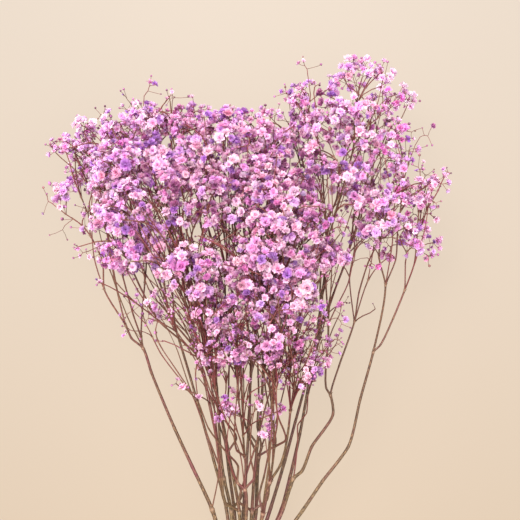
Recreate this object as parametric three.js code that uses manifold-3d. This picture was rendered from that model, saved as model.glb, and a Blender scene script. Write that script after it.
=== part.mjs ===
// A bunch of preserved, dyed gypsophila (baby's breath), lying on a table.
//
// Fourteen cut sprays are held by a rubber band. Each spray is one grown piece: a woody stem that
// forks again and again into twigs, with a double floret at the end of every twig. The flower heads
// lie towards +Y, the cut ends towards -Y, and the table is the plane z = 0. Lengths are millimetres.

import * as THREE from 'three';
import { mergeVertices } from 'three/addons/utils/BufferGeometryUtils.js';
import Module from 'manifold-3d';

// Driving dimensions. The bunch is laid out round the middle of the rubber band.
const BAND_HEIGHT = 24; // middle of the band above the table
const INNER_RING = 2.9; // the stems pass through the band in two rings of these radii
const OUTER_RING = 7.1;
const BAND = { turns: 3, strandWidth: 1.9, thickness: 1.3, gap: 0.3, facets: 20 };
const STRAIGHT_HALF = 7; // the stems run parallel for this far on either side of the band
const TAIL = 92; // cut ends behind the band
const TRIM = 8; // the cut ends differ in length by this much
const TAIL_HEIGHT = 9.6; // middle of the cut ends above the table, so that the lowest rest on it
const TAIL_SPREAD = { across: 1.7, up: 1.2 }; // how far the cut ends fan out from their rings

// A twig with one floret has TWIG_RADIUS, and wood that carries n florets is n ** PIPE_POWER thicker.
const TWIG_RADIUS = 0.48;
const PIPE_POWER = 0.36;
const KNOT = 1.25; // forks are swollen by this much
const FLORET_RADIUS = 7.2; // larger than life, as each stands for a cluster of them
const FLORET_SPREAD = 0.14; // florets differ in size by this share
// Shares of a floret's radius. Its core and the rods along its petals are kept clear of the rest.
const FLORET = { petals: 5, notch: 0.62, cup: 0.14, height: 0.6, crown: 0.52, core: 0.64, petalRod: 0.2 };
const CALYX_RADIUS = 0.8;

// How a head is grown
const CLEARANCE = 0.5; // between one spray and another
const OWN_CLEARANCE = 0.3; // between parts of one spray that don't grow from each other
const LOWEST_TIP = 4; // florets nearer the table than their own radius are pressed flat
const FORK_SHARE = 0.42; // a fork lies this far along the way to the middle of its florets
const LEADER = 7; // wood between two forks that stand close together
const HOLLOW = 0.2; // florets keep to the outer part of their tuft
const DRAWS = 200; // places drawn for each floret of a tuft, at most
const TIP_SPACING = 1.5; // between florets of one spray, in floret radii
const TRIES = 60; // places tried for a fork or a floret before it is given up
const NUDGE = 0.3; // each further try may move this much more
const SHORTEST = 1.3; // wood is at least this many times as long as its two ends are wide
const SHARPEST = 0.2; // least cosine of a bend, and of the angle of a fork
const FORK_BEND = 0.55; // least cosine between the wood before a fork and the middle way out of it
const TURN_OUT = 0.45; // how far a floret turns from its twig to face out of its tuft
const SIBLING_ROOM = 1.2; // two branches of a fork part by at least this many times their girth
const FORK_WIDTH = 0.6; // the part of a fork's own girth that they have to clear as well
const SEED_STEP = 7919; // the sprays' streams of numbers start this far apart

// A limb is wood through the given points, and what it bears grows from its last point.
const limb = (points, ...grown) => ({ points, grown });
// A tuft is a cloud of florets: its middle, its half sizes and how many florets it has.
const tuft = (centre, half, florets) => ({ centre, half, florets });

// Each spray is named for where its head lies as seen from above. seat is its place in the band:
// the ring, and the angle in degrees from +X towards +Z.
const SPRAYS = [
  { name: 'spray_outer_left', ring: OUTER_RING, seat: 180, wood:
    limb([[-23, 59, 30]],
      limb([[-18, 86, 36], [-20, 112, 42], [-32, 172, 46]], tuft([-46, 212, 46], [12, 15, 13], 4)),
      limb([[-50, 119, 37], [-66, 159, 43], [-72, 177, 46]],
        limb([[-80, 184, 47], [-84, 193, 48]],
          limb([[-99, 219, 52], [-100, 239, 55]], tuft([-120, 288, 52], [18, 26, 19], 9)),
          limb([[-89, 211, 44], [-93, 228, 42]], tuft([-112, 312, 38], [22, 20, 19], 9))),
        limb([[-78, 200, 53], [-85, 228, 61]], tuft([-100, 282, 68], [21, 25, 18], 9)),
        limb([[-73, 198, 44], [-71, 223, 42], [-70, 240, 40]], tuft([-86, 331, 42], [22, 18, 19], 9)))) },
  { name: 'spray_left', ring: OUTER_RING, seat: 144, wood:
    limb([[-9, 58, 33], [-14, 82, 37]],
      limb([[-38, 141, 47]],
        limb([[-59, 174, 54]], tuft([-71, 202, 58], [10, 13, 10], 4)),
        limb([[-43, 163, 50]], tuft([-53, 196, 52], [10, 14, 10], 4))),
      limb([[-19, 96, 41], [-30, 151, 56]],
        limb([[-59, 197, 66], [-71, 219, 71]], tuft([-90, 260, 86], [21, 24, 18], 11)),
        limb([[-52, 201, 63]], tuft([-64, 250, 78], [21, 23, 18], 11)))) },
  { name: 'spray_front_left', ring: OUTER_RING, seat: 108, wood:
    limb([[2, 58, 43], [1, 76, 49]],
      limb([[-4, 81, 51], [-11, 103, 59], [-15, 128, 70], [-19, 152, 82]],
        tuft([-31, 222, 119], [26, 21, 13], 11), tuft([-35, 198, 108], [16, 14, 12], 5)),
      limb([[1, 100, 57], [0, 116, 63]],
        limb([[5, 124, 70]], tuft([7, 139, 80], [10, 10, 8], 3)),
        limb([[-3, 142, 75], [-4, 158, 83]], tuft([-6, 192, 113], [21, 25, 13], 11)))) },
  { name: 'spray_front_right', ring: OUTER_RING, seat: 72, wood:
    limb([[14, 58, 44], [19, 82, 53]],
      limb([[26, 94, 58], [29, 103, 61], [33, 134, 74]],
        limb([[36, 146, 82]], tuft([41, 175, 100], [21, 19, 14], 8)),
        limb([[36, 160, 88]], tuft([44, 209, 117], [21, 23, 14], 10))),
      limb([[22, 108, 65], [21, 140, 82]],
        limb([[18, 160, 92]], tuft([15, 189, 118], [19, 19, 10], 6)),
        limb([[17, 184, 101]], tuft([15, 230, 124], [25, 20, 12], 10)))) },
  { name: 'spray_front_top', ring: INNER_RING, seat: 45, wood:
    limb([[6, 58, 36], [10, 108, 50], [14, 160, 68], [18, 206, 88]],
      limb([[34, 224, 92]], tuft([48, 253, 104], [16, 20, 14], 7)),
      limb([[24, 234, 98]], tuft([30, 273, 112], [25, 25, 16], 12)),
      limb([[8, 230, 96]], tuft([0, 262, 110], [21, 20, 15], 8))) },
  { name: 'spray_upper_left', ring: INNER_RING, seat: 135, wood:
    limb([[-3, 58, 37], [-9, 94, 48], [-18, 142, 65], [-27, 191, 84]],
      limb([[-33, 228, 97]], tuft([-40, 283, 113], [28, 26, 18], 14)),
      limb([[-44, 224, 92]], tuft([-73, 290, 106], [25, 28, 18], 13))) },
  { name: 'spray_centre', ring: INNER_RING, seat: 315, wood:
    limb([[9, 58, 29], [11, 98, 37]],
      limb([[4, 113, 41], [0, 127, 44], [-4, 177, 55], [-8, 219, 65]],
        tuft([-23, 320, 79], [26, 29, 20], 14), tuft([-12, 283, 80], [15, 15, 13], 4)),
      limb([[10, 120, 43], [11, 139, 48], [9, 191, 63], [6, 233, 73]], tuft([6, 304, 86], [23, 28, 19], 12)),
      limb([[18, 120, 41], [20, 139, 45], [24, 184, 54], [24, 226, 59]], tuft([14, 330, 58], [21, 19, 18], 8))) },
  { name: 'spray_top_left', ring: INNER_RING, seat: 225, wood:
    limb([[-7, 58, 24], [-15, 121, 32], [-27, 184, 41], [-41, 233, 49]],
      limb([[-60, 282, 57]], tuft([-76, 342, 62], [24, 15, 16], 9)),
      limb([[-46, 286, 59]], tuft([-50, 342, 68], [22, 19, 18], 10)),
      limb([[-50, 262, 55]], tuft([-58, 305, 66], [24, 22, 16], 9))) },
  { name: 'spray_right', ring: OUTER_RING, seat: 36, wood:
    limb([[28, 58, 32], [34, 77, 37], [36, 82, 38]],
      limb([[42, 88, 40], [49, 106, 44], [64, 130, 50], [62, 144, 53]],
        limb([[59, 149, 55], [60, 182, 63], [60, 194, 66]],
          limb([[58, 222, 74], [57, 238, 78]], tuft([62, 284, 88], [22, 25, 16], 10)),
          limb([[74, 224, 66]], tuft([80, 252, 66], [15, 16, 13], 5))),
        limb([[68, 164, 52], [79, 196, 54]],
          limb([[76, 228, 48]], tuft([84, 272, 48], [15, 19, 14], 5)),
          limb([[82, 217, 59], [88, 238, 65]], tuft([100, 264, 78], [19, 21, 14], 8)))),
      limb([[39, 111, 44], [39, 122, 47]],
        limb([[45, 131, 52], [46, 144, 56]], tuft([56, 178, 70], [12, 21, 14], 5)))) },
  { name: 'spray_outer_right', ring: OUTER_RING, seat: 0, wood:
    limb([[43, 58, 29], [76, 106, 37], [84, 140, 42], [93, 174, 46]],
      limb([[101, 222, 56]],
        limb([[96, 242, 62]], tuft([98, 292, 74], [22, 24, 16], 9)),
        limb([[108, 240, 58]], tuft([114, 318, 60], [15, 19, 15], 7))),
      limb([[98, 179, 46], [107, 198, 48], [115, 218, 50]],
        limb([[122, 238, 52]], tuft([126, 288, 56], [14, 24, 15], 7)),
        limb([[116, 238, 47]], tuft([117, 258, 50], [19, 16, 14], 6)))) },
  { name: 'spray_top_right', ring: OUTER_RING, seat: 324, wood:
    limb([[28, 58, 20], [34, 82, 23], [41, 114, 28], [48, 156, 36]],
      limb([[60, 200, 38], [82, 268, 44]], tuft([106, 344, 46], [15, 18, 14], 6)),
      limb([[56, 212, 47], [60, 254, 55]],
        limb([[72, 296, 62]], tuft([88, 358, 64], [26, 21, 18], 12)),
        limb([[56, 304, 60]], tuft([54, 356, 58], [20, 21, 18], 9)),
        limb([[66, 284, 66]], tuft([74, 322, 76], [25, 22, 16], 10)))) },
  { name: 'spray_back_left', ring: OUTER_RING, seat: 216, wood:
    limb([[-13, 58, 17], [-30, 121, 18], [-50, 190, 21]],
      limb([[-66, 236, 22]], tuft([-94, 308, 20], [25, 23, 14], 10), tuft([-74, 278, 13], [21, 22, 10], 7)),
      limb([[-54, 252, 26]], tuft([-56, 324, 26], [25, 24, 16], 11))) },
  { name: 'spray_back_right', ring: OUTER_RING, seat: 288, wood:
    limb([[20, 58, 13], [38, 121, 13], [56, 190, 18]],
      limb([[56, 250, 26]], tuft([38, 336, 30], [22, 22, 16], 9), tuft([62, 298, 16], [25, 24, 12], 8)),
      limb([[76, 244, 24]], tuft([92, 322, 26], [26, 24, 16], 11), tuft([108, 280, 18], [16, 20, 13], 5))) },
  { name: 'spray_below', ring: OUTER_RING, seat: 252, wood:
    limb([[0, 58, 14], [4, 121, 11], [6, 160, 11]],
      limb([[-10, 186, 12]], tuft([-28, 218, 13], [24, 22, 10], 8)),
      limb([[8, 190, 12]], tuft([8, 212, 11], [22, 22, 9], 8), tuft([10, 256, 15], [25, 21, 11], 9)),
      limb([[24, 188, 12]], tuft([38, 222, 13], [22, 22, 10], 8))) },
];

// Small vector helpers on [x, y, z]
const add = (a, b) => [a[0] + b[0], a[1] + b[1], a[2] + b[2]];
const sub = (a, b) => [a[0] - b[0], a[1] - b[1], a[2] - b[2]];
const scale = (a, k) => [a[0] * k, a[1] * k, a[2] * k];
const dot = (a, b) => a[0] * b[0] + a[1] * b[1] + a[2] * b[2];
const cross = (a, b) => [a[1] * b[2] - a[2] * b[1], a[2] * b[0] - a[0] * b[2], a[0] * b[1] - a[1] * b[0]];
const size = (a) => Math.sqrt(dot(a, a));
const unit = (a) => scale(a, 1 / size(a));
const between = (a, b, share) => add(a, scale(sub(b, a), share));
const mean = (points) => scale(points.reduce(add), 1 / points.length);
const clamp01 = (x) => Math.min(1, Math.max(0, x));
const TURN = 2 * Math.PI;

// A repeatable stream of numbers from 0 to 1
function stream(seed) {
  let state = seed;
  return () => {
    state = (state * 1664525 + 1013904223) % 4294967296;
    return state / 4294967296;
  };
}

// Shortest distance between the segments ab and cd
function gapBetween(a, b, c, d) {
  const u = sub(b, a);
  const v = sub(d, c);
  const w = sub(a, c);
  const uu = dot(u, u);
  const vv = dot(v, v);
  const uv = dot(u, v);
  const uw = dot(u, w);
  const vw = dot(v, w);
  const det = uu * vv - uv * uv;
  let s = det > 1e-9 ? clamp01((uv * vw - vv * uw) / det) : 0;
  const t = vv > 1e-9 ? clamp01((uv * s + vw) / vv) : 0;
  s = uu > 1e-9 ? clamp01((uv * t - uw) / uu) : 0;
  return size(sub(between(a, b, s), between(c, d, t)));
}

// The grown tree is made of knots: a place, the radius of the wood there, and the knots that follow.
// heading and length belong to the wood that leads to the knot, and girth is its swollen radius.
function knot(at, radius, from) {
  const way = from ? sub(at, from.at) : [0, 1, 0];
  return { at, radius, girth: KNOT * radius, heading: unit(way), length: size(way), next: [], tufts: [], floret: 0 };
}

// Everything grown so far, as round-ended rods {a, b, radius, from, to, spray}. from and to are the
// knots that a rod of wood joins. A floret is a ball and a rod along each petal.
const rods = [];

function isClear(rod, spray, from) {
  return rods.every((other) => {
    if (from && (other.from === from || other.to === from)) return true;
    const room = other.spray === spray ? OWN_CLEARANCE : CLEARANCE;
    return gapBetween(rod.a, rod.b, other.a, other.b) > rod.radius + other.radius + room;
  });
}

// Directions across a floret, and from them the tips of its petals
function floretAxes(facing) {
  const towards = Math.abs(facing[2]) < 0.9 ? [0, 0, 1] : [1, 0, 0];
  const across = unit(sub(towards, scale(facing, dot(towards, facing))));
  return [across, cross(facing, across)];
}

function floretRods(middle, facing, radius) {
  const [across, side] = floretAxes(facing);
  const petals = Array.from({ length: FLORET.petals }, (_, i) => {
    const angle = (TURN * i) / FLORET.petals;
    const out = add(scale(across, Math.cos(angle)), scale(side, Math.sin(angle)));
    const tip = add(middle, scale(add(out, scale(facing, FLORET.cup)), radius));
    return { a: middle, b: between(middle, tip, 1 - FLORET.petalRod), radius: FLORET.petalRod * radius };
  });
  return [{ a: middle, b: middle, radius: FLORET.core * radius }, ...petals];
}

// Whether new wood is long enough, has no kink and leaves its sibling room
function growsWell(from, grown) {
  if (grown.length < SHORTEST * (from.girth + grown.girth)) return false;
  if (dot(grown.heading, from.heading) < SHARPEST) return false;
  return from.next.every((sibling) => {
    if (dot(grown.heading, sibling.heading) < SHARPEST) return false;
    if (dot(from.heading, unit(add(grown.heading, sibling.heading))) < FORK_BEND) return false;
    const apart = 0.5 * size(sub(grown.heading, sibling.heading)) * Math.min(grown.length, sibling.length);
    return apart > SIBLING_ROOM * Math.max(grown.girth, sibling.girth, FORK_WIDTH * from.girth);
  });
}

// Adds a knot near a goal where it touches nothing, or gives null. A bloom is a floret's radius,
// and it faces away from the heart of its tuft.
function grow(from, goal, radius, spray, random, bloom = 0, heart = null) {
  for (let i = 0; i < TRIES; i += 1) {
    const shift = [random() - 0.5, random() - 0.5, random() - 0.5];
    const place = add(goal, scale(shift, 2 * NUDGE * i));
    place[2] = Math.max(place[2], LOWEST_TIP);
    const grown = knot(place, radius, from);
    let floret = [];
    if (bloom > 0) {
      grown.floret = bloom;
      grown.girth = CALYX_RADIUS;
      grown.facing = unit(between(grown.heading, unit(sub(place, heart)), TURN_OUT));
      grown.middle = add(place, scale(grown.facing, FLORET.height * bloom));
      floret = floretRods(grown.middle, grown.facing, bloom);
    }
    const wood = { a: from.at, b: place, radius: bloom > 0 ? CALYX_RADIUS : radius };
    if (growsWell(from, grown) && isClear(wood, spray, from) && floret.every((rod) => isClear(rod, spray, null))) {
      from.next.push(grown);
      rods.push({ ...wood, from, to: grown, spray }, ...floret.map((rod) => ({ ...rod, spray })));
      return grown;
    }
  }
  return null;
}

const countFlorets = (thing) => thing.florets ?? thing.grown.reduce((sum, t) => sum + countFlorets(t), 0);
const countAll = (things) => things.reduce((sum, thing) => sum + countFlorets(thing), 0);
const woodRadius = (florets) => TWIG_RADIUS * florets ** PIPE_POWER;
const aimOf = (thing) => (thing.points ? thing.points[0] : thing.centre);

// Grows what a knot bears. Only two things can leave one knot, so more of them leave one by one.
function growAll(from, things, spray, random) {
  const [first, ...rest] = things;
  if (first.points) {
    let end = from;
    for (const goal of first.points) {
      end = grow(end, goal, woodRadius(countFlorets(first)), spray, random) ?? end;
    }
    growAll(end, first.grown, spray, random);
  } else {
    from.tufts.push(first);
  }
  if (rest.length === 1) growAll(from, rest, spray, random);
  if (rest.length > 1) {
    const aim = unit(sub(mean(rest.map(aimOf)), from.at));
    const leader = grow(from, add(from.at, scale(aim, LEADER)), woodRadius(countAll(rest)), spray, random);
    growAll(leader, rest, spray, random);
  }
}

// Places for the florets of a tuft, clear of each other and of everything grown
function drawTips(part, taken, spray, random) {
  const tips = [];
  for (let i = 0; i < DRAWS * part.florets && tips.length < part.florets; i += 1) {
    const p = [2 * random() - 1, 2 * random() - 1, 2 * random() - 1];
    const reach = size(p);
    if (reach > 1 || reach < HOLLOW) continue;
    const tip = add(part.centre, [p[0] * part.half[0], p[1] * part.half[1], p[2] * part.half[2]]);
    tip[2] = Math.max(tip[2], LOWEST_TIP);
    const apart = [...taken, ...tips].every((other) => size(sub(other, tip)) > TIP_SPACING * FLORET_RADIUS);
    if (apart && isClear({ a: tip, b: tip, radius: FLORET.core * FLORET_RADIUS }, spray, null)) tips.push(tip);
  }
  return tips;
}

// Splits places in two, by which of the two that lie furthest apart is nearer
function splitTips(tips) {
  const furthest = (from) => tips.reduce((best, t) => (size(sub(t, from)) > size(sub(best, from)) ? t : best));
  const one = furthest(tips[0]);
  const two = furthest(one);
  const nearOne = (t) => size(sub(t, one)) <= size(sub(t, two));
  return [tips.filter(nearOne), tips.filter((t) => !nearOne(t))];
}

// Grows wood from a knot towards florets at the given places, forking on the way
function growTwigs(from, tips, heart, spray, random) {
  const radius = woodRadius(tips.length);
  if (tips.length === 1) {
    const bloom = FLORET_RADIUS * (1 + FLORET_SPREAD * (2 * random() - 1));
    grow(from, tips[0], radius, spray, random, bloom, heart);
    return;
  }
  const fork = grow(from, between(from.at, mean(tips), FORK_SHARE), radius, spray, random);
  if (!fork) return;
  for (const group of splitTips(tips)) growTwigs(fork, group, heart, spray, random);
}

function growTufts(from, taken, spray, random) {
  for (const following of [...from.next]) growTufts(following, taken, spray, random);
  for (const part of from.tufts) {
    const tips = drawTips(part, taken, spray, random);
    taken.push(...tips);
    if (tips.length > 0) growTwigs(from, tips, part.centre, spray, random);
  }
}

// Wood without a floret at its end is cut back
const bearsFlorets = (k) => k.floret > 0 || k.next.some(bearsFlorets);
function prune(k) {
  k.next = k.next.filter(bearsFlorets);
  k.next.forEach(prune);
}

// A spray's knots from its cut end through the band, and then all that its wood bears
function plantSpray(spray, index, random) {
  const angle = THREE.MathUtils.degToRad(spray.seat);
  const x = spray.ring * Math.cos(angle);
  const z = spray.ring * Math.sin(angle);
  const radius = woodRadius(countFlorets(spray.wood));
  const cut = -TAIL + TRIM * (random() - 0.5);
  const root = knot([x * TAIL_SPREAD.across, cut, TAIL_HEIGHT + z * TAIL_SPREAD.up], radius, null);
  let last = root;
  for (const y of [-STRAIGHT_HALF, STRAIGHT_HALF]) {
    const next = knot([x, y, BAND_HEIGHT + z], radius, last);
    last.next.push(next);
    rods.push({ a: last.at, b: next.at, radius, from: last, to: next, spray: index });
    last = next;
  }
  growAll(last, [spray.wood], index, random);
  return root;
}

// The skin of a spray: rings of points across its wood, joined by bands of triangles. At a fork the
// ring is split by a diagonal, and each of its two parts is the start of a branch.
const FORK_RINGS = [
  { above: 1.05, sides: 6, split: 3 },
  { above: 0.72, sides: 5, split: 2 },
  { above: 0, sides: 4, split: 2 },
];
const RING_SIDES = [[1.3, 6], [0.95, 5], [0.66, 4], [0, 3]]; // by radius, where nothing forks

function addRing(skin, centre, along, towards, radii, start, lift) {
  const across = unit(sub(towards, scale(along, dot(towards, along))));
  const side = cross(along, across);
  return radii.map((radius, i) => {
    const angle = start + (TURN * i) / radii.length;
    const out = add(scale(across, radius * Math.cos(angle)), scale(side, radius * Math.sin(angle)));
    skin.points.push(add(add(centre, out), scale(along, lift * radius)));
    return skin.points.length - 1;
  });
}

// Joins two rings by a band of triangles, which takes the edges of both in the order that they face
function bridge(skin, lower, upper) {
  const middleOf = (ring) => mean(ring.map((i) => skin.points[i]));
  const along = unit(sub(middleOf(upper), middleOf(lower)));
  const across = unit(cross(along, sub(skin.points[lower[1]], skin.points[lower[0]])));
  const side = cross(along, across);
  const edgesOf = (ring) => {
    const outs = ring.map((i) => sub(skin.points[i], middleOf(ring)));
    const ways = outs.map((out) => unit([dot(out, across), dot(out, side), 0]));
    return ring.map((_, i) => {
      const after = (i + 1) % ring.length;
      const facing = add(ways[i], ways[after]);
      return { ring, end: ring[after], turn: (Math.atan2(facing[1], facing[0]) + TURN) % TURN };
    });
  };
  const edges = [...edgesOf(lower), ...edgesOf(upper)].sort((one, two) => one.turn - two.turn);
  const lastEnd = (ring) => edges.findLast((edge) => edge.ring === ring).end;
  let a = lastEnd(lower);
  let b = lastEnd(upper);
  for (const { ring, end } of edges) {
    skin.faces.push([a, end, b]);
    if (ring === lower) a = end;
    else b = end;
  }
}

// A double floret: three-sided calyx, a rim of notched petals and a raised crown
function addFloret(skin, start, k) {
  const r = k.floret;
  const along = k.facing;
  const [across] = floretAxes(along);
  const calyx = addRing(skin, k.at, unit(add(k.heading, along)), across, Array(3).fill(CALYX_RADIUS), 0, 0);
  bridge(skin, start, calyx);
  const petals = Array.from({ length: 2 * FLORET.petals }, (_, i) => (i % 2 ? FLORET.notch * r : r));
  const rim = addRing(skin, k.middle, along, across, petals, 0, FLORET.cup);
  bridge(skin, calyx, rim);
  const crown = skin.points.push(add(k.middle, scale(along, FLORET.crown * r))) - 1;
  rim.forEach((point, i) => skin.faces.push([point, rim[(i + 1) % rim.length], crown]));
}

function addWood(skin, start, k, towards) {
  if (k.floret > 0) {
    addFloret(skin, start, k);
    return;
  }
  const ways = k.next.map((next) => next.heading);
  if (k.next.length === 2) {
    const along = unit(add(...ways));
    const thick = k.next[0].radius > k.next[1].radius ? 0 : 1;
    const { sides, split } = FORK_RINGS.find((ring) => k.radius >= ring.above);
    const radii = Array(sides).fill(k.girth);
    const apart = sub(ways[1 - thick], ways[thick]);
    const ring = addRing(skin, k.at, along, apart, radii, (-0.5 * TURN * split) / sides, 0);
    bridge(skin, start, ring);
    addWood(skin, ring.slice(0, split + 1), k.next[1 - thick], towards);
    addWood(skin, [...ring.slice(split), ring[0]], k.next[thick], towards);
  } else {
    const sides = RING_SIDES.find(([above]) => k.radius >= above)[1];
    const ring = addRing(skin, k.at, unit(add(k.heading, ways[0])), towards, Array(sides).fill(k.radius), 0, 0);
    bridge(skin, start, ring);
    addWood(skin, ring, k.next[0], towards);
  }
}

function skinOf(root) {
  const skin = { points: [], faces: [] };
  const up = [0, 0, 1];
  const cut = addRing(skin, root.at, root.next[0].heading, up, Array(6).fill(root.radius), 0, 0);
  for (let i = 1; i < cut.length - 1; i += 1) skin.faces.push([cut[0], cut[i + 1], cut[i]]);
  addWood(skin, cut, root.next[0], up);
  return skin;
}

const wasm = await Module();
wasm.setup();

// A spray's skin as a solid. What would pass into the table is pressed flat on it.
function sprayGeometry(root) {
  const { points, faces } = skinOf(root);
  const vertProperties = new Float32Array(points.flat());
  const triVerts = new Uint32Array(faces.flat());
  const solid = new wasm.Manifold(new wasm.Mesh({ numProp: 3, vertProperties, triVerts }));
  const mesh = solid.trimByPlane([0, 0, 1], 0).getMesh();
  const geometry = new THREE.BufferGeometry();
  geometry.setAttribute('position', new THREE.BufferAttribute(new Float32Array(mesh.vertProperties), 3));
  geometry.setIndex(new THREE.BufferAttribute(new Uint32Array(mesh.triVerts), 1));
  geometry.computeVertexNormals();
  return geometry;
}

// The rubber band: turns of one strand lying side by side round the bundle
function bandGeometry(widest) {
  const inner = OUTER_RING + widest + BAND.gap;
  const half = (BAND.turns * BAND.strandWidth) / 2;
  const profile = [new THREE.Vector2(inner, -half)];
  for (let turn = 0; turn < BAND.turns; turn += 1) {
    const start = -half + turn * BAND.strandWidth;
    profile.push(new THREE.Vector2(inner + 0.5 * BAND.thickness, start));
    profile.push(new THREE.Vector2(inner + BAND.thickness, start + 0.5 * BAND.strandWidth));
  }
  profile.push(new THREE.Vector2(inner + 0.5 * BAND.thickness, half));
  profile.push(new THREE.Vector2(inner, half));
  profile.push(profile[0].clone());
  const lathe = new THREE.LatheGeometry(profile, BAND.facets);
  lathe.deleteAttribute('normal');
  lathe.deleteAttribute('uv');
  const merged = mergeVertices(lathe);
  merged.computeVertexNormals();
  return merged;
}

// The wood of every spray is grown first, then the twigs and florets, which keep clear of it
const streams = SPRAYS.map((_, i) => stream(SEED_STEP * (i + 1)));
const roots = SPRAYS.map((spray, i) => plantSpray(spray, i, streams[i]));
roots.forEach((root, i) => growTufts(root, [], i, streams[i]));
roots.forEach(prune);

const dyed = new THREE.MeshStandardMaterial({ color: 0xc98fbf, roughness: 0.85, metalness: 0 });
const rubber = new THREE.MeshStandardMaterial({ color: 0xc9a878, roughness: 0.6, metalness: 0 });

const bunch = new THREE.Group();
SPRAYS.forEach((spray, i) => {
  const mesh = new THREE.Mesh(sprayGeometry(roots[i]), dyed);
  mesh.name = spray.name;
  bunch.add(mesh);
});

const outerSprays = SPRAYS.filter((spray) => spray.ring === OUTER_RING);
const widestStem = Math.max(...outerSprays.map((spray) => woodRadius(countFlorets(spray.wood))));
const band = new THREE.Mesh(bandGeometry(widestStem), rubber);
band.name = 'rubber_band';
band.position.z = BAND_HEIGHT;
bunch.add(band);

// The part's origin is on the table under the middle of the whole bunch
const box = new THREE.Box3().setFromObject(bunch);
bunch.position.set(-(box.min.x + box.max.x) / 2, -(box.min.y + box.max.y) / 2, 0);

const part = new THREE.Group();
part.add(bunch);
export default part;
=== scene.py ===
"""A bunch of preserved, dyed gypsophila (baby's breath), lying on a table.

Every spray is grown here by the same rule and from the same numbers as its solid in the CAD part.
Then it gets its real fineness: smooth tapering wood with knots and bracts, a branching cluster of
double florets and buds where the solid has one big floret, and the rubber band's wound strand.
Growth is worked out in millimetres, round the middle of the rubber band, with the table at z = 0.
"""

import math

import bpy
import numpy as np
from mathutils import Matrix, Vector


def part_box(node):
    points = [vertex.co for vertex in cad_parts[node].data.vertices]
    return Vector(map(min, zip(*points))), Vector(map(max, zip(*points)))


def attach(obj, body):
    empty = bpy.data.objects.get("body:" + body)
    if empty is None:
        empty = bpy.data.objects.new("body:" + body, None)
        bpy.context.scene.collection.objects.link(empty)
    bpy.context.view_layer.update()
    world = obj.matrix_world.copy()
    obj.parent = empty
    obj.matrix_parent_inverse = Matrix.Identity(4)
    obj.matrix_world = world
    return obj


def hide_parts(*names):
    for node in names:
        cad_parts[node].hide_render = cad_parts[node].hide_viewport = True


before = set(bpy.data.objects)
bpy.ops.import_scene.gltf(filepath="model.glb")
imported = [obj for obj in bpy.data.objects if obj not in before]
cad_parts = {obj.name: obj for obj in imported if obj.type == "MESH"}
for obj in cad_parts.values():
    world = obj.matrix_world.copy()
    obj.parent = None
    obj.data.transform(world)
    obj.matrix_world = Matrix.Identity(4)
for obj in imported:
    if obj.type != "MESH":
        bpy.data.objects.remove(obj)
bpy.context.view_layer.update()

# The camera looks straight down
PIXEL = 0.7  # millimetres of the bunch across one pixel of the picture
PICTURE = 520
VIEW_CENTRE = (11.9, 240.1, 72)  # what it looks at, in the growth's own frame
VIEW_DISTANCE = 1.1

# The part's own dimensions, which the sprays' solids were grown from
BAND_HEIGHT = 24
INNER_RING = 2.9
OUTER_RING = 7.1
BAND = {"turns": 3, "strand_width": 1.9, "thickness": 1.3}
STRAIGHT_HALF = 7
TAIL = 92
TRIM = 8
TAIL_HEIGHT = 9.6
TAIL_SPREAD = {"across": 1.7, "up": 1.2}
TWIG_RADIUS = 0.48
PIPE_POWER = 0.36
KNOT = 1.25
FLORET_RADIUS = 7.2
FLORET_SPREAD = 0.14
FLORET = {"petals": 5, "cup": 0.14, "height": 0.6, "core": 0.64, "petal_rod": 0.2}
CALYX_RADIUS = 0.8
CLEARANCE = 0.5
OWN_CLEARANCE = 0.3
LOWEST_TIP = 4
FORK_SHARE = 0.42
LEADER = 7
HOLLOW = 0.2
DRAWS = 200
TIP_SPACING = 1.5
TRIES = 60
NUDGE = 0.3
SHORTEST = 1.3
SHARPEST = 0.2
FORK_BEND = 0.55
TURN_OUT = 0.45
SIBLING_ROOM = 1.2
FORK_WIDTH = 0.6
SEED_STEP = 7919

# From the growth's own place to the part's, in millimetres
shift = np.array([500 * (a + b) for a, b in zip(*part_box("rubber_band"))]) - (0, 0, BAND_HEIGHT)


def limb(points, *grown):
    """Wood through the given points, and what it bears grows from its last point."""
    return {"points": points, "grown": grown}


def tuft(centre, half, florets):
    """A cloud of florets: its middle, its half sizes and how many florets the solid has there."""
    return {"centre": centre, "half": half, "florets": florets}


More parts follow.
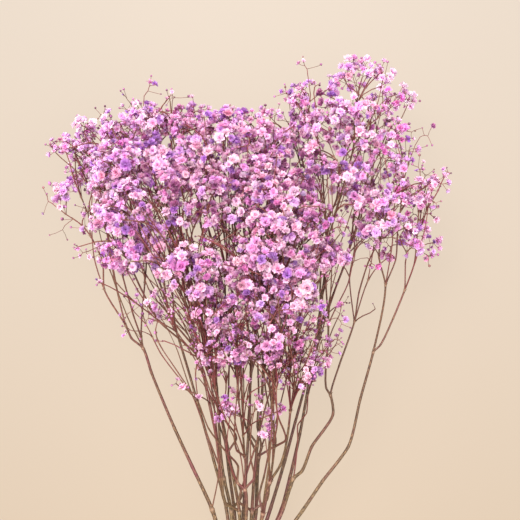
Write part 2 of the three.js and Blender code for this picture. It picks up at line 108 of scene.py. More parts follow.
# Each spray's name, its ring in the band, its angle there in degrees from +X towards +Z, and its wood
SPRAYS = [
    ("spray_outer_left", OUTER_RING, 180,
     limb([[-23, 59, 30]],
       limb([[-18, 86, 36], [-20, 112, 42], [-32, 172, 46]], tuft([-46, 212, 46], [12, 15, 13], 4)),
       limb([[-50, 119, 37], [-66, 159, 43], [-72, 177, 46]],
         limb([[-80, 184, 47], [-84, 193, 48]],
           limb([[-99, 219, 52], [-100, 239, 55]], tuft([-120, 288, 52], [18, 26, 19], 9)),
           limb([[-89, 211, 44], [-93, 228, 42]], tuft([-112, 312, 38], [22, 20, 19], 9))),
         limb([[-78, 200, 53], [-85, 228, 61]], tuft([-100, 282, 68], [21, 25, 18], 9)),
         limb([[-73, 198, 44], [-71, 223, 42], [-70, 240, 40]], tuft([-86, 331, 42], [22, 18, 19], 9))))),
    ("spray_left", OUTER_RING, 144,
     limb([[-9, 58, 33], [-14, 82, 37]],
       limb([[-38, 141, 47]],
         limb([[-59, 174, 54]], tuft([-71, 202, 58], [10, 13, 10], 4)),
         limb([[-43, 163, 50]], tuft([-53, 196, 52], [10, 14, 10], 4))),
       limb([[-19, 96, 41], [-30, 151, 56]],
         limb([[-59, 197, 66], [-71, 219, 71]], tuft([-90, 260, 86], [21, 24, 18], 11)),
         limb([[-52, 201, 63]], tuft([-64, 250, 78], [21, 23, 18], 11))))),
    ("spray_front_left", OUTER_RING, 108,
     limb([[2, 58, 43], [1, 76, 49]],
       limb([[-4, 81, 51], [-11, 103, 59], [-15, 128, 70], [-19, 152, 82]],
         tuft([-31, 222, 119], [26, 21, 13], 11), tuft([-35, 198, 108], [16, 14, 12], 5)),
       limb([[1, 100, 57], [0, 116, 63]],
         limb([[5, 124, 70]], tuft([7, 139, 80], [10, 10, 8], 3)),
         limb([[-3, 142, 75], [-4, 158, 83]], tuft([-6, 192, 113], [21, 25, 13], 11))))),
    ("spray_front_right", OUTER_RING, 72,
     limb([[14, 58, 44], [19, 82, 53]],
       limb([[26, 94, 58], [29, 103, 61], [33, 134, 74]],
         limb([[36, 146, 82]], tuft([41, 175, 100], [21, 19, 14], 8)),
         limb([[36, 160, 88]], tuft([44, 209, 117], [21, 23, 14], 10))),
       limb([[22, 108, 65], [21, 140, 82]],
         limb([[18, 160, 92]], tuft([15, 189, 118], [19, 19, 10], 6)),
         limb([[17, 184, 101]], tuft([15, 230, 124], [25, 20, 12], 10))))),
    ("spray_front_top", INNER_RING, 45,
     limb([[6, 58, 36], [10, 108, 50], [14, 160, 68], [18, 206, 88]],
       limb([[34, 224, 92]], tuft([48, 253, 104], [16, 20, 14], 7)),
       limb([[24, 234, 98]], tuft([30, 273, 112], [25, 25, 16], 12)),
       limb([[8, 230, 96]], tuft([0, 262, 110], [21, 20, 15], 8)))),
    ("spray_upper_left", INNER_RING, 135,
     limb([[-3, 58, 37], [-9, 94, 48], [-18, 142, 65], [-27, 191, 84]],
       limb([[-33, 228, 97]], tuft([-40, 283, 113], [28, 26, 18], 14)),
       limb([[-44, 224, 92]], tuft([-73, 290, 106], [25, 28, 18], 13)))),
    ("spray_centre", INNER_RING, 315,
     limb([[9, 58, 29], [11, 98, 37]],
       limb([[4, 113, 41], [0, 127, 44], [-4, 177, 55], [-8, 219, 65]],
         tuft([-23, 320, 79], [26, 29, 20], 14), tuft([-12, 283, 80], [15, 15, 13], 4)),
       limb([[10, 120, 43], [11, 139, 48], [9, 191, 63], [6, 233, 73]],
         tuft([6, 304, 86], [23, 28, 19], 12)),
       limb([[18, 120, 41], [20, 139, 45], [24, 184, 54], [24, 226, 59]],
         tuft([14, 330, 58], [21, 19, 18], 8)))),
    ("spray_top_left", INNER_RING, 225,
     limb([[-7, 58, 24], [-15, 121, 32], [-27, 184, 41], [-41, 233, 49]],
       limb([[-60, 282, 57]], tuft([-76, 342, 62], [24, 15, 16], 9)),
       limb([[-46, 286, 59]], tuft([-50, 342, 68], [22, 19, 18], 10)),
       limb([[-50, 262, 55]], tuft([-58, 305, 66], [24, 22, 16], 9)))),
    ("spray_right", OUTER_RING, 36,
     limb([[28, 58, 32], [34, 77, 37], [36, 82, 38]],
       limb([[42, 88, 40], [49, 106, 44], [64, 130, 50], [62, 144, 53]],
         limb([[59, 149, 55], [60, 182, 63], [60, 194, 66]],
           limb([[58, 222, 74], [57, 238, 78]], tuft([62, 284, 88], [22, 25, 16], 10)),
           limb([[74, 224, 66]], tuft([80, 252, 66], [15, 16, 13], 5))),
         limb([[68, 164, 52], [79, 196, 54]],
           limb([[76, 228, 48]], tuft([84, 272, 48], [15, 19, 14], 5)),
           limb([[82, 217, 59], [88, 238, 65]], tuft([100, 264, 78], [19, 21, 14], 8)))),
       limb([[39, 111, 44], [39, 122, 47]],
         limb([[45, 131, 52], [46, 144, 56]], tuft([56, 178, 70], [12, 21, 14], 5))))),
    ("spray_outer_right", OUTER_RING, 0,
     limb([[43, 58, 29], [76, 106, 37], [84, 140, 42], [93, 174, 46]],
       limb([[101, 222, 56]],
         limb([[96, 242, 62]], tuft([98, 292, 74], [22, 24, 16], 9)),
         limb([[108, 240, 58]], tuft([114, 318, 60], [15, 19, 15], 7))),
       limb([[98, 179, 46], [107, 198, 48], [115, 218, 50]],
         limb([[122, 238, 52]], tuft([126, 288, 56], [14, 24, 15], 7)),
         limb([[116, 238, 47]], tuft([117, 258, 50], [19, 16, 14], 6))))),
    ("spray_top_right", OUTER_RING, 324,
     limb([[28, 58, 20], [34, 82, 23], [41, 114, 28], [48, 156, 36]],
       limb([[60, 200, 38], [82, 268, 44]], tuft([106, 344, 46], [15, 18, 14], 6)),
       limb([[56, 212, 47], [60, 254, 55]],
         limb([[72, 296, 62]], tuft([88, 358, 64], [26, 21, 18], 12)),
         limb([[56, 304, 60]], tuft([54, 356, 58], [20, 21, 18], 9)),
         limb([[66, 284, 66]], tuft([74, 322, 76], [25, 22, 16], 10))))),
    ("spray_back_left", OUTER_RING, 216,
     limb([[-13, 58, 17], [-30, 121, 18], [-50, 190, 21]],
       limb([[-66, 236, 22]], tuft([-94, 308, 20], [25, 23, 14], 10), tuft([-74, 278, 13], [21, 22, 10], 7)),
       limb([[-54, 252, 26]], tuft([-56, 324, 26], [25, 24, 16], 11)))),
    ("spray_back_right", OUTER_RING, 288,
     limb([[20, 58, 13], [38, 121, 13], [56, 190, 18]],
       limb([[56, 250, 26]], tuft([38, 336, 30], [22, 22, 16], 9), tuft([62, 298, 16], [25, 24, 12], 8)),
       limb([[76, 244, 24]], tuft([92, 322, 26], [26, 24, 16], 11), tuft([108, 280, 18], [16, 20, 13], 5)))),
    ("spray_below", OUTER_RING, 252,
     limb([[0, 58, 14], [4, 121, 11], [6, 160, 11]],
       limb([[-10, 186, 12]], tuft([-28, 218, 13], [24, 22, 10], 8)),
       limb([[8, 190, 12]], tuft([8, 212, 11], [22, 22, 9], 8), tuft([10, 256, 15], [25, 21, 11], 9)),
       limb([[24, 188, 12]], tuft([38, 222, 13], [22, 22, 10], 8)))),
]


# Small vector helpers on tuples
def add(a, b):
    return (a[0] + b[0], a[1] + b[1], a[2] + b[2])


def sub(a, b):
    return (a[0] - b[0], a[1] - b[1], a[2] - b[2])


def scale(a, k):
    return (a[0] * k, a[1] * k, a[2] * k)


def dot(a, b):
    return a[0] * b[0] + a[1] * b[1] + a[2] * b[2]


def cross(a, b):
    return (a[1] * b[2] - a[2] * b[1], a[2] * b[0] - a[0] * b[2], a[0] * b[1] - a[1] * b[0])


def size(a):
    return math.sqrt(dot(a, a))


def unit(a):
    return scale(a, 1 / size(a))


def between(a, b, share):
    return add(a, scale(sub(b, a), share))


def mean(points):
    total = points[0]
    for point in points[1:]:
        total = add(total, point)
    return scale(total, 1 / len(points))


def raised(place, lowest):
    """A place, or the one above it at the lowest height."""
    return (place[0], place[1], max(place[2], lowest))


def within(part, shares):
    """A place in a tuft, by its shares of the ways from the middle to the sides."""
    return add(part["centre"], tuple(share * half for share, half in zip(shares, part["half"])))


def seat_in_band(ring, seat):
    """Where a spray passes the band, across and up from the band's middle."""
    return ring * math.cos(math.radians(seat)), ring * math.sin(math.radians(seat))


def stream(seed):
    """A repeatable stream of numbers from 0 to 1."""
    state = [seed]

    def draw():
        state[0] = (state[0] * 1664525 + 1013904223) % 4294967296
        return state[0] / 4294967296

    return draw


class Knot:
    """A place in the tree, the radius of the wood there, and the knots that follow it."""

    count = 0

    def __init__(self, at, radius, start=None):
        way = sub(at, start.at) if start else (0.0, 1.0, 0.0)
        self.at = tuple(at)
        self.radius = radius
        self.girth = KNOT * radius
        self.heading = unit(way)
        self.length = size(way)
        self.next = []
        self.tufts = []
        self.bloom = 0.0
        self.number = Knot.count
        Knot.count += 1


class Rods:
    """Everything grown so far, as round-ended rods. A rod of wood knows the knots that it joins."""

    def __init__(self, most=12000):
        self.a, self.way, self.middle = (np.zeros((most, 3)) for _ in range(3))
        self.radius, self.reach, self.square = (np.zeros(most) for _ in range(3))
        self.spray, self.start, self.end = (np.full(most, -1) for _ in range(3))
        self.used = 0

    def add(self, a, b, radius, spray, start=-1, end=-1):
        n = self.used
        self.a[n] = a
        self.way[n] = sub(b, a)
        self.middle[n] = between(a, b, 0.5)
        self.square[n] = dot(self.way[n], self.way[n])
        self.radius[n] = radius
        self.reach[n] = 0.5 * math.sqrt(self.square[n]) + radius
        self.spray[n], self.start[n], self.end[n] = spray, start, end
        self.used += 1

    def clear(self, a, b, radius, spray, start=-1, wood=False):
        """Whether a new rod touches none of the rods, or of those of wood, but those at the knot start."""
        u = sub(b, a)
        uu = dot(u, u)
        off = self.middle[:self.used] - between(a, b, 0.5)
        reach = self.reach[:self.used] + 0.5 * math.sqrt(uu) + radius + CLEARANCE
        near = np.flatnonzero(np.einsum("ij,ij->i", off, off) < reach * reach)
        if start >= 0:
            near = near[(self.start[near] != start) & (self.end[near] != start)]
        if wood:
            near = near[self.start[near] >= 0]
        if not len(near):
            return True
        v = self.way[near]
        vv = self.square[near]
        w = np.array(a) - self.a[near]
        uv, uw, vw = v @ u, w @ u, np.einsum("ij,ij->i", v, w)
        det = uu * vv - uv * uv
        split = np.where(det > 1e-9, det, 1)
        s = np.where(det > 1e-9, np.clip((uv * vw - vv * uw) / split, 0, 1), 0)
        t = np.where(vv > 1e-9, np.clip((uv * s + vw) / np.where(vv > 1e-9, vv, 1), 0, 1), 0)
        s = np.clip((uv * t - uw) / uu, 0, 1) if uu > 1e-9 else 0 * s
        gap = np.linalg.norm(w + s[:, None] * np.array(u) - t[:, None] * v, axis=1)
        room = np.where(self.spray[near] == spray, OWN_CLEARANCE, CLEARANCE)
        return bool(np.all(gap > radius + self.radius[near] + room))


rods = Rods()


def bloom_rods(middle, facing, radius):
    """A big floret's core and the rods along its petals, as (a, b, radius)."""
    towards = (0.0, 0.0, 1.0) if abs(facing[2]) < 0.9 else (1.0, 0.0, 0.0)
    across = unit(sub(towards, scale(facing, dot(towards, facing))))
    side = cross(facing, across)
    found = [(middle, middle, FLORET["core"] * radius)]
    for i in range(FLORET["petals"]):
        angle = 2 * math.pi * i / FLORET["petals"]
        out = add(scale(across, math.cos(angle)), scale(side, math.sin(angle)))
        tip = add(middle, scale(add(out, scale(facing, FLORET["cup"])), radius))
        found.append((middle, between(middle, tip, 1 - FLORET["petal_rod"]), FLORET["petal_rod"] * radius))
    return found


def grows_well(start, grown):
    """Whether new wood is long enough, has no kink and leaves its sibling room."""
    if grown.length < SHORTEST * (start.girth + grown.girth):
        return False
    if dot(grown.heading, start.heading) < SHARPEST:
        return False
    for sibling in start.next:
        if dot(grown.heading, sibling.heading) < SHARPEST:
            return False
        if dot(start.heading, unit(add(grown.heading, sibling.heading))) < FORK_BEND:
            return False
        shorter = min(grown.length, sibling.length)
        apart = 0.5 * size(sub(grown.heading, sibling.heading)) * shorter
        if apart <= SIBLING_ROOM * max(grown.girth, sibling.girth, FORK_WIDTH * start.girth):
            return False
    return True


def grow(start, goal, radius, spray, draw, bloom=0.0, heart=None):
    """Adds a knot near a goal where it touches nothing, or gives None."""
    for i in range(TRIES):
        nudge = (draw() - 0.5, draw() - 0.5, draw() - 0.5)
        place = raised(add(goal, scale(nudge, 2 * NUDGE * i)), LOWEST_TIP)
        grown = Knot(place, radius, start)
        floret = []
        if bloom > 0:
            grown.bloom = bloom
            grown.girth = CALYX_RADIUS
            grown.facing = unit(between(grown.heading, unit(sub(place, heart)), TURN_OUT))
            grown.middle = add(place, scale(grown.facing, FLORET["height"] * bloom))
            floret = bloom_rods(grown.middle, grown.facing, bloom)
        thick = CALYX_RADIUS if bloom > 0 else radius
        if not grows_well(start, grown) or not rods.clear(start.at, place, thick, spray, start.number):
            continue
        if all(rods.clear(*rod, spray) for rod in floret):
            start.next.append(grown)
            rods.add(start.at, place, thick, spray, start.number, grown.number)
            for rod in floret:
                rods.add(*rod, spray)
            return grown
    return None


def count_florets(thing):
    return thing["florets"] if "florets" in thing else sum(count_florets(t) for t in thing["grown"])


def wood_radius(florets):
    return TWIG_RADIUS * florets ** PIPE_POWER


def grow_all(start, things, spray, draw):
    """Grows what a knot bears. Only two things can leave one knot, so more leave one by one."""
    first, rest = things[0], things[1:]
    if "points" in first:
        end = start
        for goal in first["points"]:
            end = grow(end, goal, wood_radius(count_florets(first)), spray, draw) or end
        grow_all(end, first["grown"], spray, draw)
    else:
        start.tufts.append(first)
    if len(rest) == 1:
        grow_all(start, rest, spray, draw)
    elif rest:
        aims = [t["points"][0] if "points" in t else t["centre"] for t in rest]
        aim = unit(sub(mean(aims), start.at))
        radius = wood_radius(sum(count_florets(t) for t in rest))
        leader = grow(start, add(start.at, scale(aim, LEADER)), radius, spray, draw)
        grow_all(leader, rest, spray, draw)


def draw_tips(part, taken, spray, draw):
    """Places for the big florets of a tuft, clear of each other and of everything grown."""
    tips = []
    for _ in range(DRAWS * part["florets"]):
        if len(tips) == part["florets"]:
            break
        p = (2 * draw() - 1, 2 * draw() - 1, 2 * draw() - 1)
        if not HOLLOW <= size(p) <= 1:
            continue
        tip = raised(within(part, p), LOWEST_TIP)
        if any(size(sub(other, tip)) <= TIP_SPACING * FLORET_RADIUS for other in taken + tips):
            continue
        if rods.clear(tip, tip, FLORET["core"] * FLORET_RADIUS, spray):
            tips.append(tip)
    return tips


def split_tips(tips):
    """Splits places in two, by which of the two that lie furthest apart is nearer."""
    one = max(tips, key=lambda t: size(sub(t, tips[0])))
    two = max(tips, key=lambda t: size(sub(t, one)))
    near_one = [size(sub(t, one)) <= size(sub(t, two)) for t in tips]
    return [[t for t, near in zip(tips, near_one) if near == side] for side in (True, False)]


def grow_twigs(start, tips, heart, spray, draw):
    """Grows wood from a knot towards big florets at the given places, forking on the way."""
    radius = wood_radius(len(tips))
    if len(tips) == 1:
        bloom = FLORET_RADIUS * (1 + FLORET_SPREAD * (2 * draw() - 1))
        grow(start, tips[0], radius, spray, draw, bloom, heart)
        return
    fork = grow(start, between(start.at, mean(tips), FORK_SHARE), radius, spray, draw)
    if fork:
        for group in split_tips(tips):
            grow_twigs(fork, group, heart, spray, draw)


def grow_tufts(start, taken, spray, draw):
    for following in list(start.next):
        grow_tufts(following, taken, spray, draw)
    for part in start.tufts:
        tips = draw_tips(part, taken, spray, draw)
        taken += tips
        if tips:
            grow_twigs(start, tips, part["centre"], spray, draw)


def knots_of(root):
    """Every knot of a tree."""
    waiting = [root]
    while waiting:
        knot = waiting.pop()
        waiting += knot.next
        yield knot


def bears_florets(knot):
    return knot.bloom > 0 or any(bears_florets(k) for k in knot.next)


def prune(knot):
    knot.next = [k for k in knot.next if bears_florets(k)]
    for following in knot.next:
        prune(following)


def plant_spray(ring, seat, wood, spray, draw):
    """A spray's knots from its cut end through the band, and then all that its wood bears."""
    x, z = seat_in_band(ring, seat)
    radius = wood_radius(count_florets(wood))
    cut = -TAIL + TRIM * (draw() - 0.5)
    root = Knot((x * TAIL_SPREAD["across"], cut, TAIL_HEIGHT + z * TAIL_SPREAD["up"]), radius)
    last = root
    for y in (-STRAIGHT_HALF, STRAIGHT_HALF):
        grown = Knot((x, y, BAND_HEIGHT + z), radius, last)
        last.next.append(grown)
        rods.add(last.at, grown.at, radius, spray, last.number, grown.number)
        last = grown
    grow_all(last, [wood], spray, draw)
    return root


def grow_bunch():
    """The wood of every spray is grown first, then the twigs and florets, which keep clear of it."""
    draws = [stream(SEED_STEP * (i + 1)) for i in range(len(SPRAYS))]
    roots = [plant_spray(*spray[1:], i, draws[i]) for i, spray in enumerate(SPRAYS)]
    for i, root in enumerate(roots):
        grow_tufts(root, [], i, draws[i])
    for root in roots:
        prune(root)
    return roots


# The fineness that the solids leave out, in millimetres where it is a length
WOOD_RADIUS = 0.25  # of a twig with one cluster of florets
WOOD_POWERS = (1.4, 1.05)  # how much thicker wood with more florets is, low down and high up
PEDICEL_RADIUS = 0.17
PEDICEL_POWER = 0.35
INTERNODE = 34  # longer wood gets knots of its own, at about this distance
ZIGZAG = 0.6  # and is this far out of line at them
SPUR_SHARE = 0.35  # of those knots bear a short side twig
SPUR_LENGTH = (6, 18)
SPUR_LOWEST = 150  # how far up the bunch they start
SPUR_RADIUS = 0.3  # with the room round it
SPUR_TRIES = 8
RUNNERS = 0.4  # long thin side branches for each of the solids' florets
RUNNER_STEP = 26
RUNNER_BOW = 0.16
RUNNER_RISE = 15  # they rise up to this much towards the eye on their way
RUNNER_STRAY = 8  # and end up to this far beside their spray, for each share of runners
RUNNER_WAVER = 0.8
RUNNER_LOWEST, RUNNER_TOP = 3, 138  # heights above the table
RUNNER_RADIUS = 0.35  # with the room round it
RUNNER_SHARPEST = 0.6  # least cosine of the bend where it leaves its knot
RUNNER_TRIES = 24
RUNNER_BLOOM = 0.6  # size of the cluster at a runner's end
RUNNER_LOW = 0.6  # they start at least at this share of the height that they reach
SIDE_TWIGS = 32  # fine short twigs for each spray's share of runners
SIDE_LENGTH = (12, 30)
SIDE_LOWEST = 138  # how far up the bunch they start
SIDE_BLOOM = 0.42
ELBOW = 9  # low side stems leave by an elbow of this size
ELBOW_WOOD = (2.6, 1.4)  # and start this many twigs thick, and end by this much less
REACHING_STARTS = 4  # twigs that reach out leave one of this many nearest knots
REACHING_BEHIND = 20  # which lie at least this far behind
CYME_REACH = 1.32  # a cluster reaches this many times the radius of the solid's floret
CYME_FLORETS = (8.2, 12.6)  # florets in a full cluster
CYME_FORK = 0.42
CYME_TRIES = 14
FULL = 0.6  # clusters fuller than this have fewer buds
BUDS_IF_FULL, BUDS_IF_SPARSE = (0, 3), (1, 4)  # from the first number to one less than the second
BUDS_OUT = 1.25  # buds reach this many times as far out as florets
FLORET_ROOM = 0.52  # florets keep this share of their two radii apart
FLORET_SIZES = (2.0, 4.15)
FRONT = 120  # florets are larger towards this height
FRONT_GROWTH = (0.82, 0.42)
SPARSE_GROWTH = (0.58, 1.0)  # and smaller in sparse places and on side twigs
SPARSE_TWIGS = 2.5  # where the share of florets is below one part in this, twigs are missing too
BARE_HALF = 55  # but not this near to the middle, where bare thin runners make the head's dark band
FLORET_MIDDLE = 0.6  # a floret's middle lies this share of its radius above its calyx
FLORET_LOWEST = 0.8  # and at least this share of it above the table
FACE_OUT = 0.7  # florets face this much out of their cluster,
FACE_STRAY = 0.6  # this much anywhere,
FACE_UP = (0, 0.5, 0.1)  # and this much to the bunch's top and to the eye
WOOD_ROOM = 0.3  # wood keeps this share of a floret's radius from its middle
FORK_BLOOMS = 0.8  # share of forks with a floret or a bud between their branches
FORK_STALK = (4.5, 9)  # how far that is from the fork
FORK_WOOD = 1.0  # radius under which forks have one
FORK_FLORETS = 0.6  # share of them that are florets
FORK_SIZE = 0.8  # and the share of the usual size that those have
BUD_SIZES = (0.75, 1.4)
SEED = 24
# How full of real florets each spray's clusters are, its share of runners, and its low side stems
FULLNESS = {
    "spray_outer_left": (0.9, 0.4, 0), "spray_left": (1.0, 0.5, 1), "spray_front_left": (1.0, 3.0, 5),
    "spray_front_right": (1.0, 2.4, 4), "spray_front_top": (1.2, 2.0, 4),
    "spray_upper_left": (1.2, 1.2, 2), "spray_centre": (1.05, 1.2, 4), "spray_top_left": (0.85, 0.7, 1),
    "spray_right": (0.65, 0.4, 0), "spray_outer_right": (0.55, 0.2, 0), "spray_top_right": (0.65, 0.3, 0),
    "spray_back_left": (0.45, 0.5, 0), "spray_back_right": (0.36, 0.2, 0), "spray_below": (0.45, 0.6, 0),
}
# Places that are sparser or fuller than the solids: middle and half sizes in the picture, share of florets
SHARES = (
    ((-74, 200), (42, 31), 0.25),  # under the left cloud
    ((-44, 172), (14, 26), 0.3),
    ((77, 198), (26, 32), 0.25),  # between the front and the right
    ((66, 158), (15, 13), 0.15),
    ((57, 217), (14, 12), 0.15),
    ((62, 270), (9, 16), 0.3),
    ((127, 330), (16, 15), 0.2),  # the right cloud's shoulder
    ((-50, 359), (32, 15), 0.22),  # above the left cloud
    ((-104, 350), (22, 12), 0.12),
    ((-128, 306), (14, 8), 0.2),
    ((14, 356), (24, 14), 0.25),
    ((48, 371), (9, 9), 0.3),
    ((-124, 256), (27, 28), 0.25),  # the left edge
    ((-140, 270), (20, 20), 0.2),
    ((-2, 180), (56, 38), 0.6),  # the lower front, where twigs show between the florets
    ((7, 139), (16, 14), 0.5),  # the lowest tuft
    ((48, 146), (13, 14), 0.15),
    ((-23, 256), (38, 11), 0.2),  # dark twigs between the upper clouds and the front
    ((-30, 272), (44, 16), 0.65),
    ((34, 330), (16, 26), 1.6),
    ((70, 240), (13, 14), 2.2),  # the dark tuft at the right
    ((94, 240), (9, 12), 0.4),
    ((120, 302), (10, 9), 0.35),
)
# Places where single long twigs reach out of the bunch, by spray
REACHING = (
    ("spray_outer_left", tuft([-128, 318, 40], [12, 7, 9], 9)),
    ("spray_outer_left", tuft([-118, 328, 42], [14, 8, 10], 6)),
    ("spray_top_left", tuft([-96, 334, 56], [12, 10, 8], 2)),
    ("spray_front_left", tuft([-9, 136, 76], [8, 14, 10], 2)),
    ("spray_front_right", tuft([17, 122, 72], [8, 10, 8], 2)),
    ("spray_upper_left", tuft([-30, 254, 84], [26, 11, 12], 14)),
    ("spray_centre", tuft([-16, 258, 74], [28, 12, 12], 8)),
    ("spray_top_right", tuft([70, 362, 62], [9, 5, 9], 1)),
    ("spray_top_right", tuft([90, 370, 60], [7, 5, 8], 3)),
    ("spray_outer_right", tuft([130, 298, 56], [6, 12, 8], 4)),
)


class Blooms:
    """The real florets and buds of the whole bunch, which keep their distance from each other."""

    def __init__(self, most=9000):
        self.middle = np.zeros((most, 3))
        self.radius = np.zeros(most)
        self.used = 0

    def place(self, middle, radius):
        """Takes the place if it is free."""
        off = np.linalg.norm(self.middle[:self.used] - middle, axis=1)
        if np.any(off < FLORET_ROOM * (self.radius[:self.used] + radius)):
            return False
        if not rods.clear(middle, middle, WOOD_ROOM * radius, -1, wood=True):
            return False
        self.middle[self.used] = middle
        self.radius[self.used] = radius
        self.used += 1
        return True


blooms = Blooms()


def random_way(rng):
    return unit(tuple(rng.normal(size=3)))


def strayed(place, distance, rng):
    """A place moved by a distance in a random direction."""
    return add(place, scale(random_way(rng), distance))


def make_tip(start, middle, radius, kind, outwards, rng):
    """A floret or bud at the end of its own pedicel, or None where there is no room."""
    middle = raised(middle, FLORET_LOWEST * radius)
    if not blooms.place(middle, radius):
        return None
    way = add(unit(sub(middle, start)), scale(outwards, FACE_OUT))
    facing = unit(add(strayed(way, FACE_STRAY, rng), FACE_UP))
    tip = Knot(sub(middle, scale(facing, FLORET_MIDDLE * radius)), 0)
    tip.kind, tip.size, tip.facing, tip.tips = kind, radius, facing, 1
    return tip


def lead_to(start, tips, rng):
    """Pedicels from a knot to the given tips, forking on the way."""
    if len(tips) == 1:
        start.next.append(tips[0])
        return
    goal = between(start.at, mean([t.at for t in tips]), CYME_FORK * rng.uniform(0.75, 1.2))
    fork = Knot(strayed(goal, 0.35, rng), 0)
    fork.tips = len(tips)
    start.next.append(fork)
    places = {t.at: t for t in tips}
    for group in split_tips(list(places)):
        lead_to(fork, [places[at] for at in group], rng)


def floret_size(rng):
    low, high = FLORET_SIZES
    return low + (high - low) * rng.beta(2.0, 2.8)


def share_at(place):
    """The share of florets to keep at a place, as seen from above by the camera."""
    lens = VIEW_DISTANCE * 1000
    spread = lens / (lens - (place[2] - VIEW_CENTRE[2]))
    x, y = (VIEW_CENTRE[i] + (place[i] - VIEW_CENTRE[i]) * spread for i in (0, 1))
    found = 1
    for (mx, my), (hx, hy), share in SHARES:
        if math.hypot((x - mx) / hx, (y - my) / hy) < 1:
            found *= share
    return found


def grow_cyme(knot, full, rng):
    """The cluster of real florets and buds that the solid's big floret stands for."""
    tips = []
    share = share_at(knot.middle)
    room = knot.bloom / FLORET_RADIUS
    dark_band = room <= RUNNER_BLOOM and abs(knot.middle[0]) < BARE_HALF
    if not dark_band and rng.random() > SPARSE_TWIGS * share:
        return
    here = full * share
    growth = FRONT_GROWTH[0] + FRONT_GROWTH[1] * min(knot.middle[2], FRONT) / FRONT
    growth *= np.interp(share * room, (0, 1), SPARSE_GROWTH)
    florets = round(here * room ** 2 * rng.uniform(*CYME_FLORETS))
    buds = rng.integers(*(BUDS_IF_FULL if here > FULL else BUDS_IF_SPARSE))
    for kind in ["floret"] * florets + ["bud"] * buds:
        for _ in range(CYME_TRIES):
            radius = floret_size(rng) if kind == "floret" else rng.uniform(*BUD_SIZES)
            radius *= growth
            reach = rng.uniform(0.3, 1.0) ** 0.5 * (BUDS_OUT if kind == "bud" else 1.0)
            off = scale(random_way(rng), CYME_REACH * reach * knot.bloom)
            middle = add(knot.middle, off)
            if dot(sub(middle, knot.at), knot.facing) < 0.1 * knot.bloom:
                continue
            tip = make_tip(knot.at, middle, radius, kind, unit(off), rng)
            if tip:
                tips.append(tip)
                break
    if tips:
        lead_to(knot, tips, rng)


def dress(knot, full, spray, rng):
    """Adds clusters, blooms in the forks, knots along long wood and short side twigs to a tree."""
    following = list(knot.next)
    if knot.bloom > 0:
        grow_cyme(knot, full, rng)
    elif len(following) == 2 and knot.radius < FORK_WOOD and rng.random() < full * FORK_BLOOMS:
        way = unit(strayed(add(following[0].heading, following[1].heading), 0.5, rng))
        kind = "floret" if rng.random() < FORK_FLORETS else "bud"
        radius = FORK_SIZE * floret_size(rng) if kind == "floret" else rng.uniform(*BUD_SIZES)
        middle = add(knot.at, scale(way, rng.uniform(*FORK_STALK)))
        tip = make_tip(knot.at, middle, radius, kind, way, rng)
        if tip:
            knot.next.append(tip)
    for i, child in enumerate(following):
        dress(child, full, spray, rng)
        if child.length > 1.5 * INTERNODE and child.at[1] > STRAIGHT_HALF:
            knot.next[i] = with_knots(knot, child, spray, rng)
    knot.next = [k for k in knot.next if k.next or hasattr(k, "kind")]


def with_knots(start, child, spray, rng):
    """Puts knots into a long straight stretch of wood, and side twigs on some of them."""
    parts = round(child.length / INTERNODE)
    first = last = None
    for i in range(1, parts):
        place = between(start.at, child.at, (i + rng.uniform(-0.2, 0.2)) / parts)
        middle = Knot(strayed(place, ZIGZAG, rng), child.radius, last or start)
        first = first or middle
        if last:
            last.next = [middle] + last.next
        last = middle
        if middle.at[1] > SPUR_LOWEST and rng.random() < SPUR_SHARE:
            add_spur(middle, spray, rng)
    child.heading = unit(sub(child.at, last.at))
    child.length = size(sub(child.at, last.at))
    last.next = [child] + last.next
    return first


def side_way(knot, rng):
    """A random way out of a knot, more or less on with its wood."""
    return unit(add(scale(knot.heading, 1.5), random_way(rng)))


def add_spur(knot, spray, rng):
    """A short side twig with a bud or two, where it touches no other wood."""
    for _ in range(SPUR_TRIES):
        way = side_way(knot, rng)
        end = add(knot.at, scale(way, rng.uniform(*SPUR_LENGTH)))
        base = add(knot.at, scale(way, 2.5 * knot.radius))
        if dot(way, knot.heading) > 0.95 or end[2] < 2 or not rods.clear(base, end, SPUR_RADIUS, -1):
            continue
        rods.add(base, end, SPUR_RADIUS, spray)
        tips = []
        for _ in range(rng.integers(1, 4)):
            off = add(scale(way, rng.uniform(0, 3)), scale(random_way(rng), rng.uniform(1.5, 4)))
            tip = make_tip(knot.at, add(end, off), rng.uniform(*BUD_SIZES), "bud", way, rng)
            if tip:
                tips.append(tip)
        if tips:
            lead_to(knot, tips, rng)
        return


def add_runners(root, name, spray, rng):
    """Long thin side branches from a spray's wood, up to and among its florets."""
    _, share, lowest = FULLNESS[name]
    everything = list(knots_of(root))
    waiting, parts = [[root]], []
    while waiting:
        chain = waiting.pop()
        waiting += [chain + [following] for following in chain[-1].next]
        parts += [(chain, part) for part in chain[-1].tufts]
    for chain, part in parts:
        starts = [k for k in chain if k.at[1] > RUNNER_LOW * part["centre"][1]]
        for _ in range(round(RUNNERS * share * part["florets"])):
            add_runner(starts[rng.integers(len(starts))], part, spray, rng, stray=RUNNER_STRAY * share)
    for _ in range(lowest):
        chain, part = parts[rng.integers(len(parts))]
        starts = [k for k in chain if STRAIGHT_HALF < k.at[1] < RUNNER_LOW * part["centre"][1]]
        add_runner(starts[rng.integers(len(starts))], part, spray, rng, ELBOW)
    for part in [part for of, part in REACHING if of == name]:
        behind = part["centre"][1] - REACHING_BEHIND
        starts = [k for k in everything if k.radius > TWIG_RADIUS and k.at[1] < behind]
        starts.sort(key=lambda k: size(sub(k.at, part["centre"])))
        for _ in range(part["florets"]):
            add_runner(starts[rng.integers(min(REACHING_STARTS, len(starts)))], part, spray, rng)


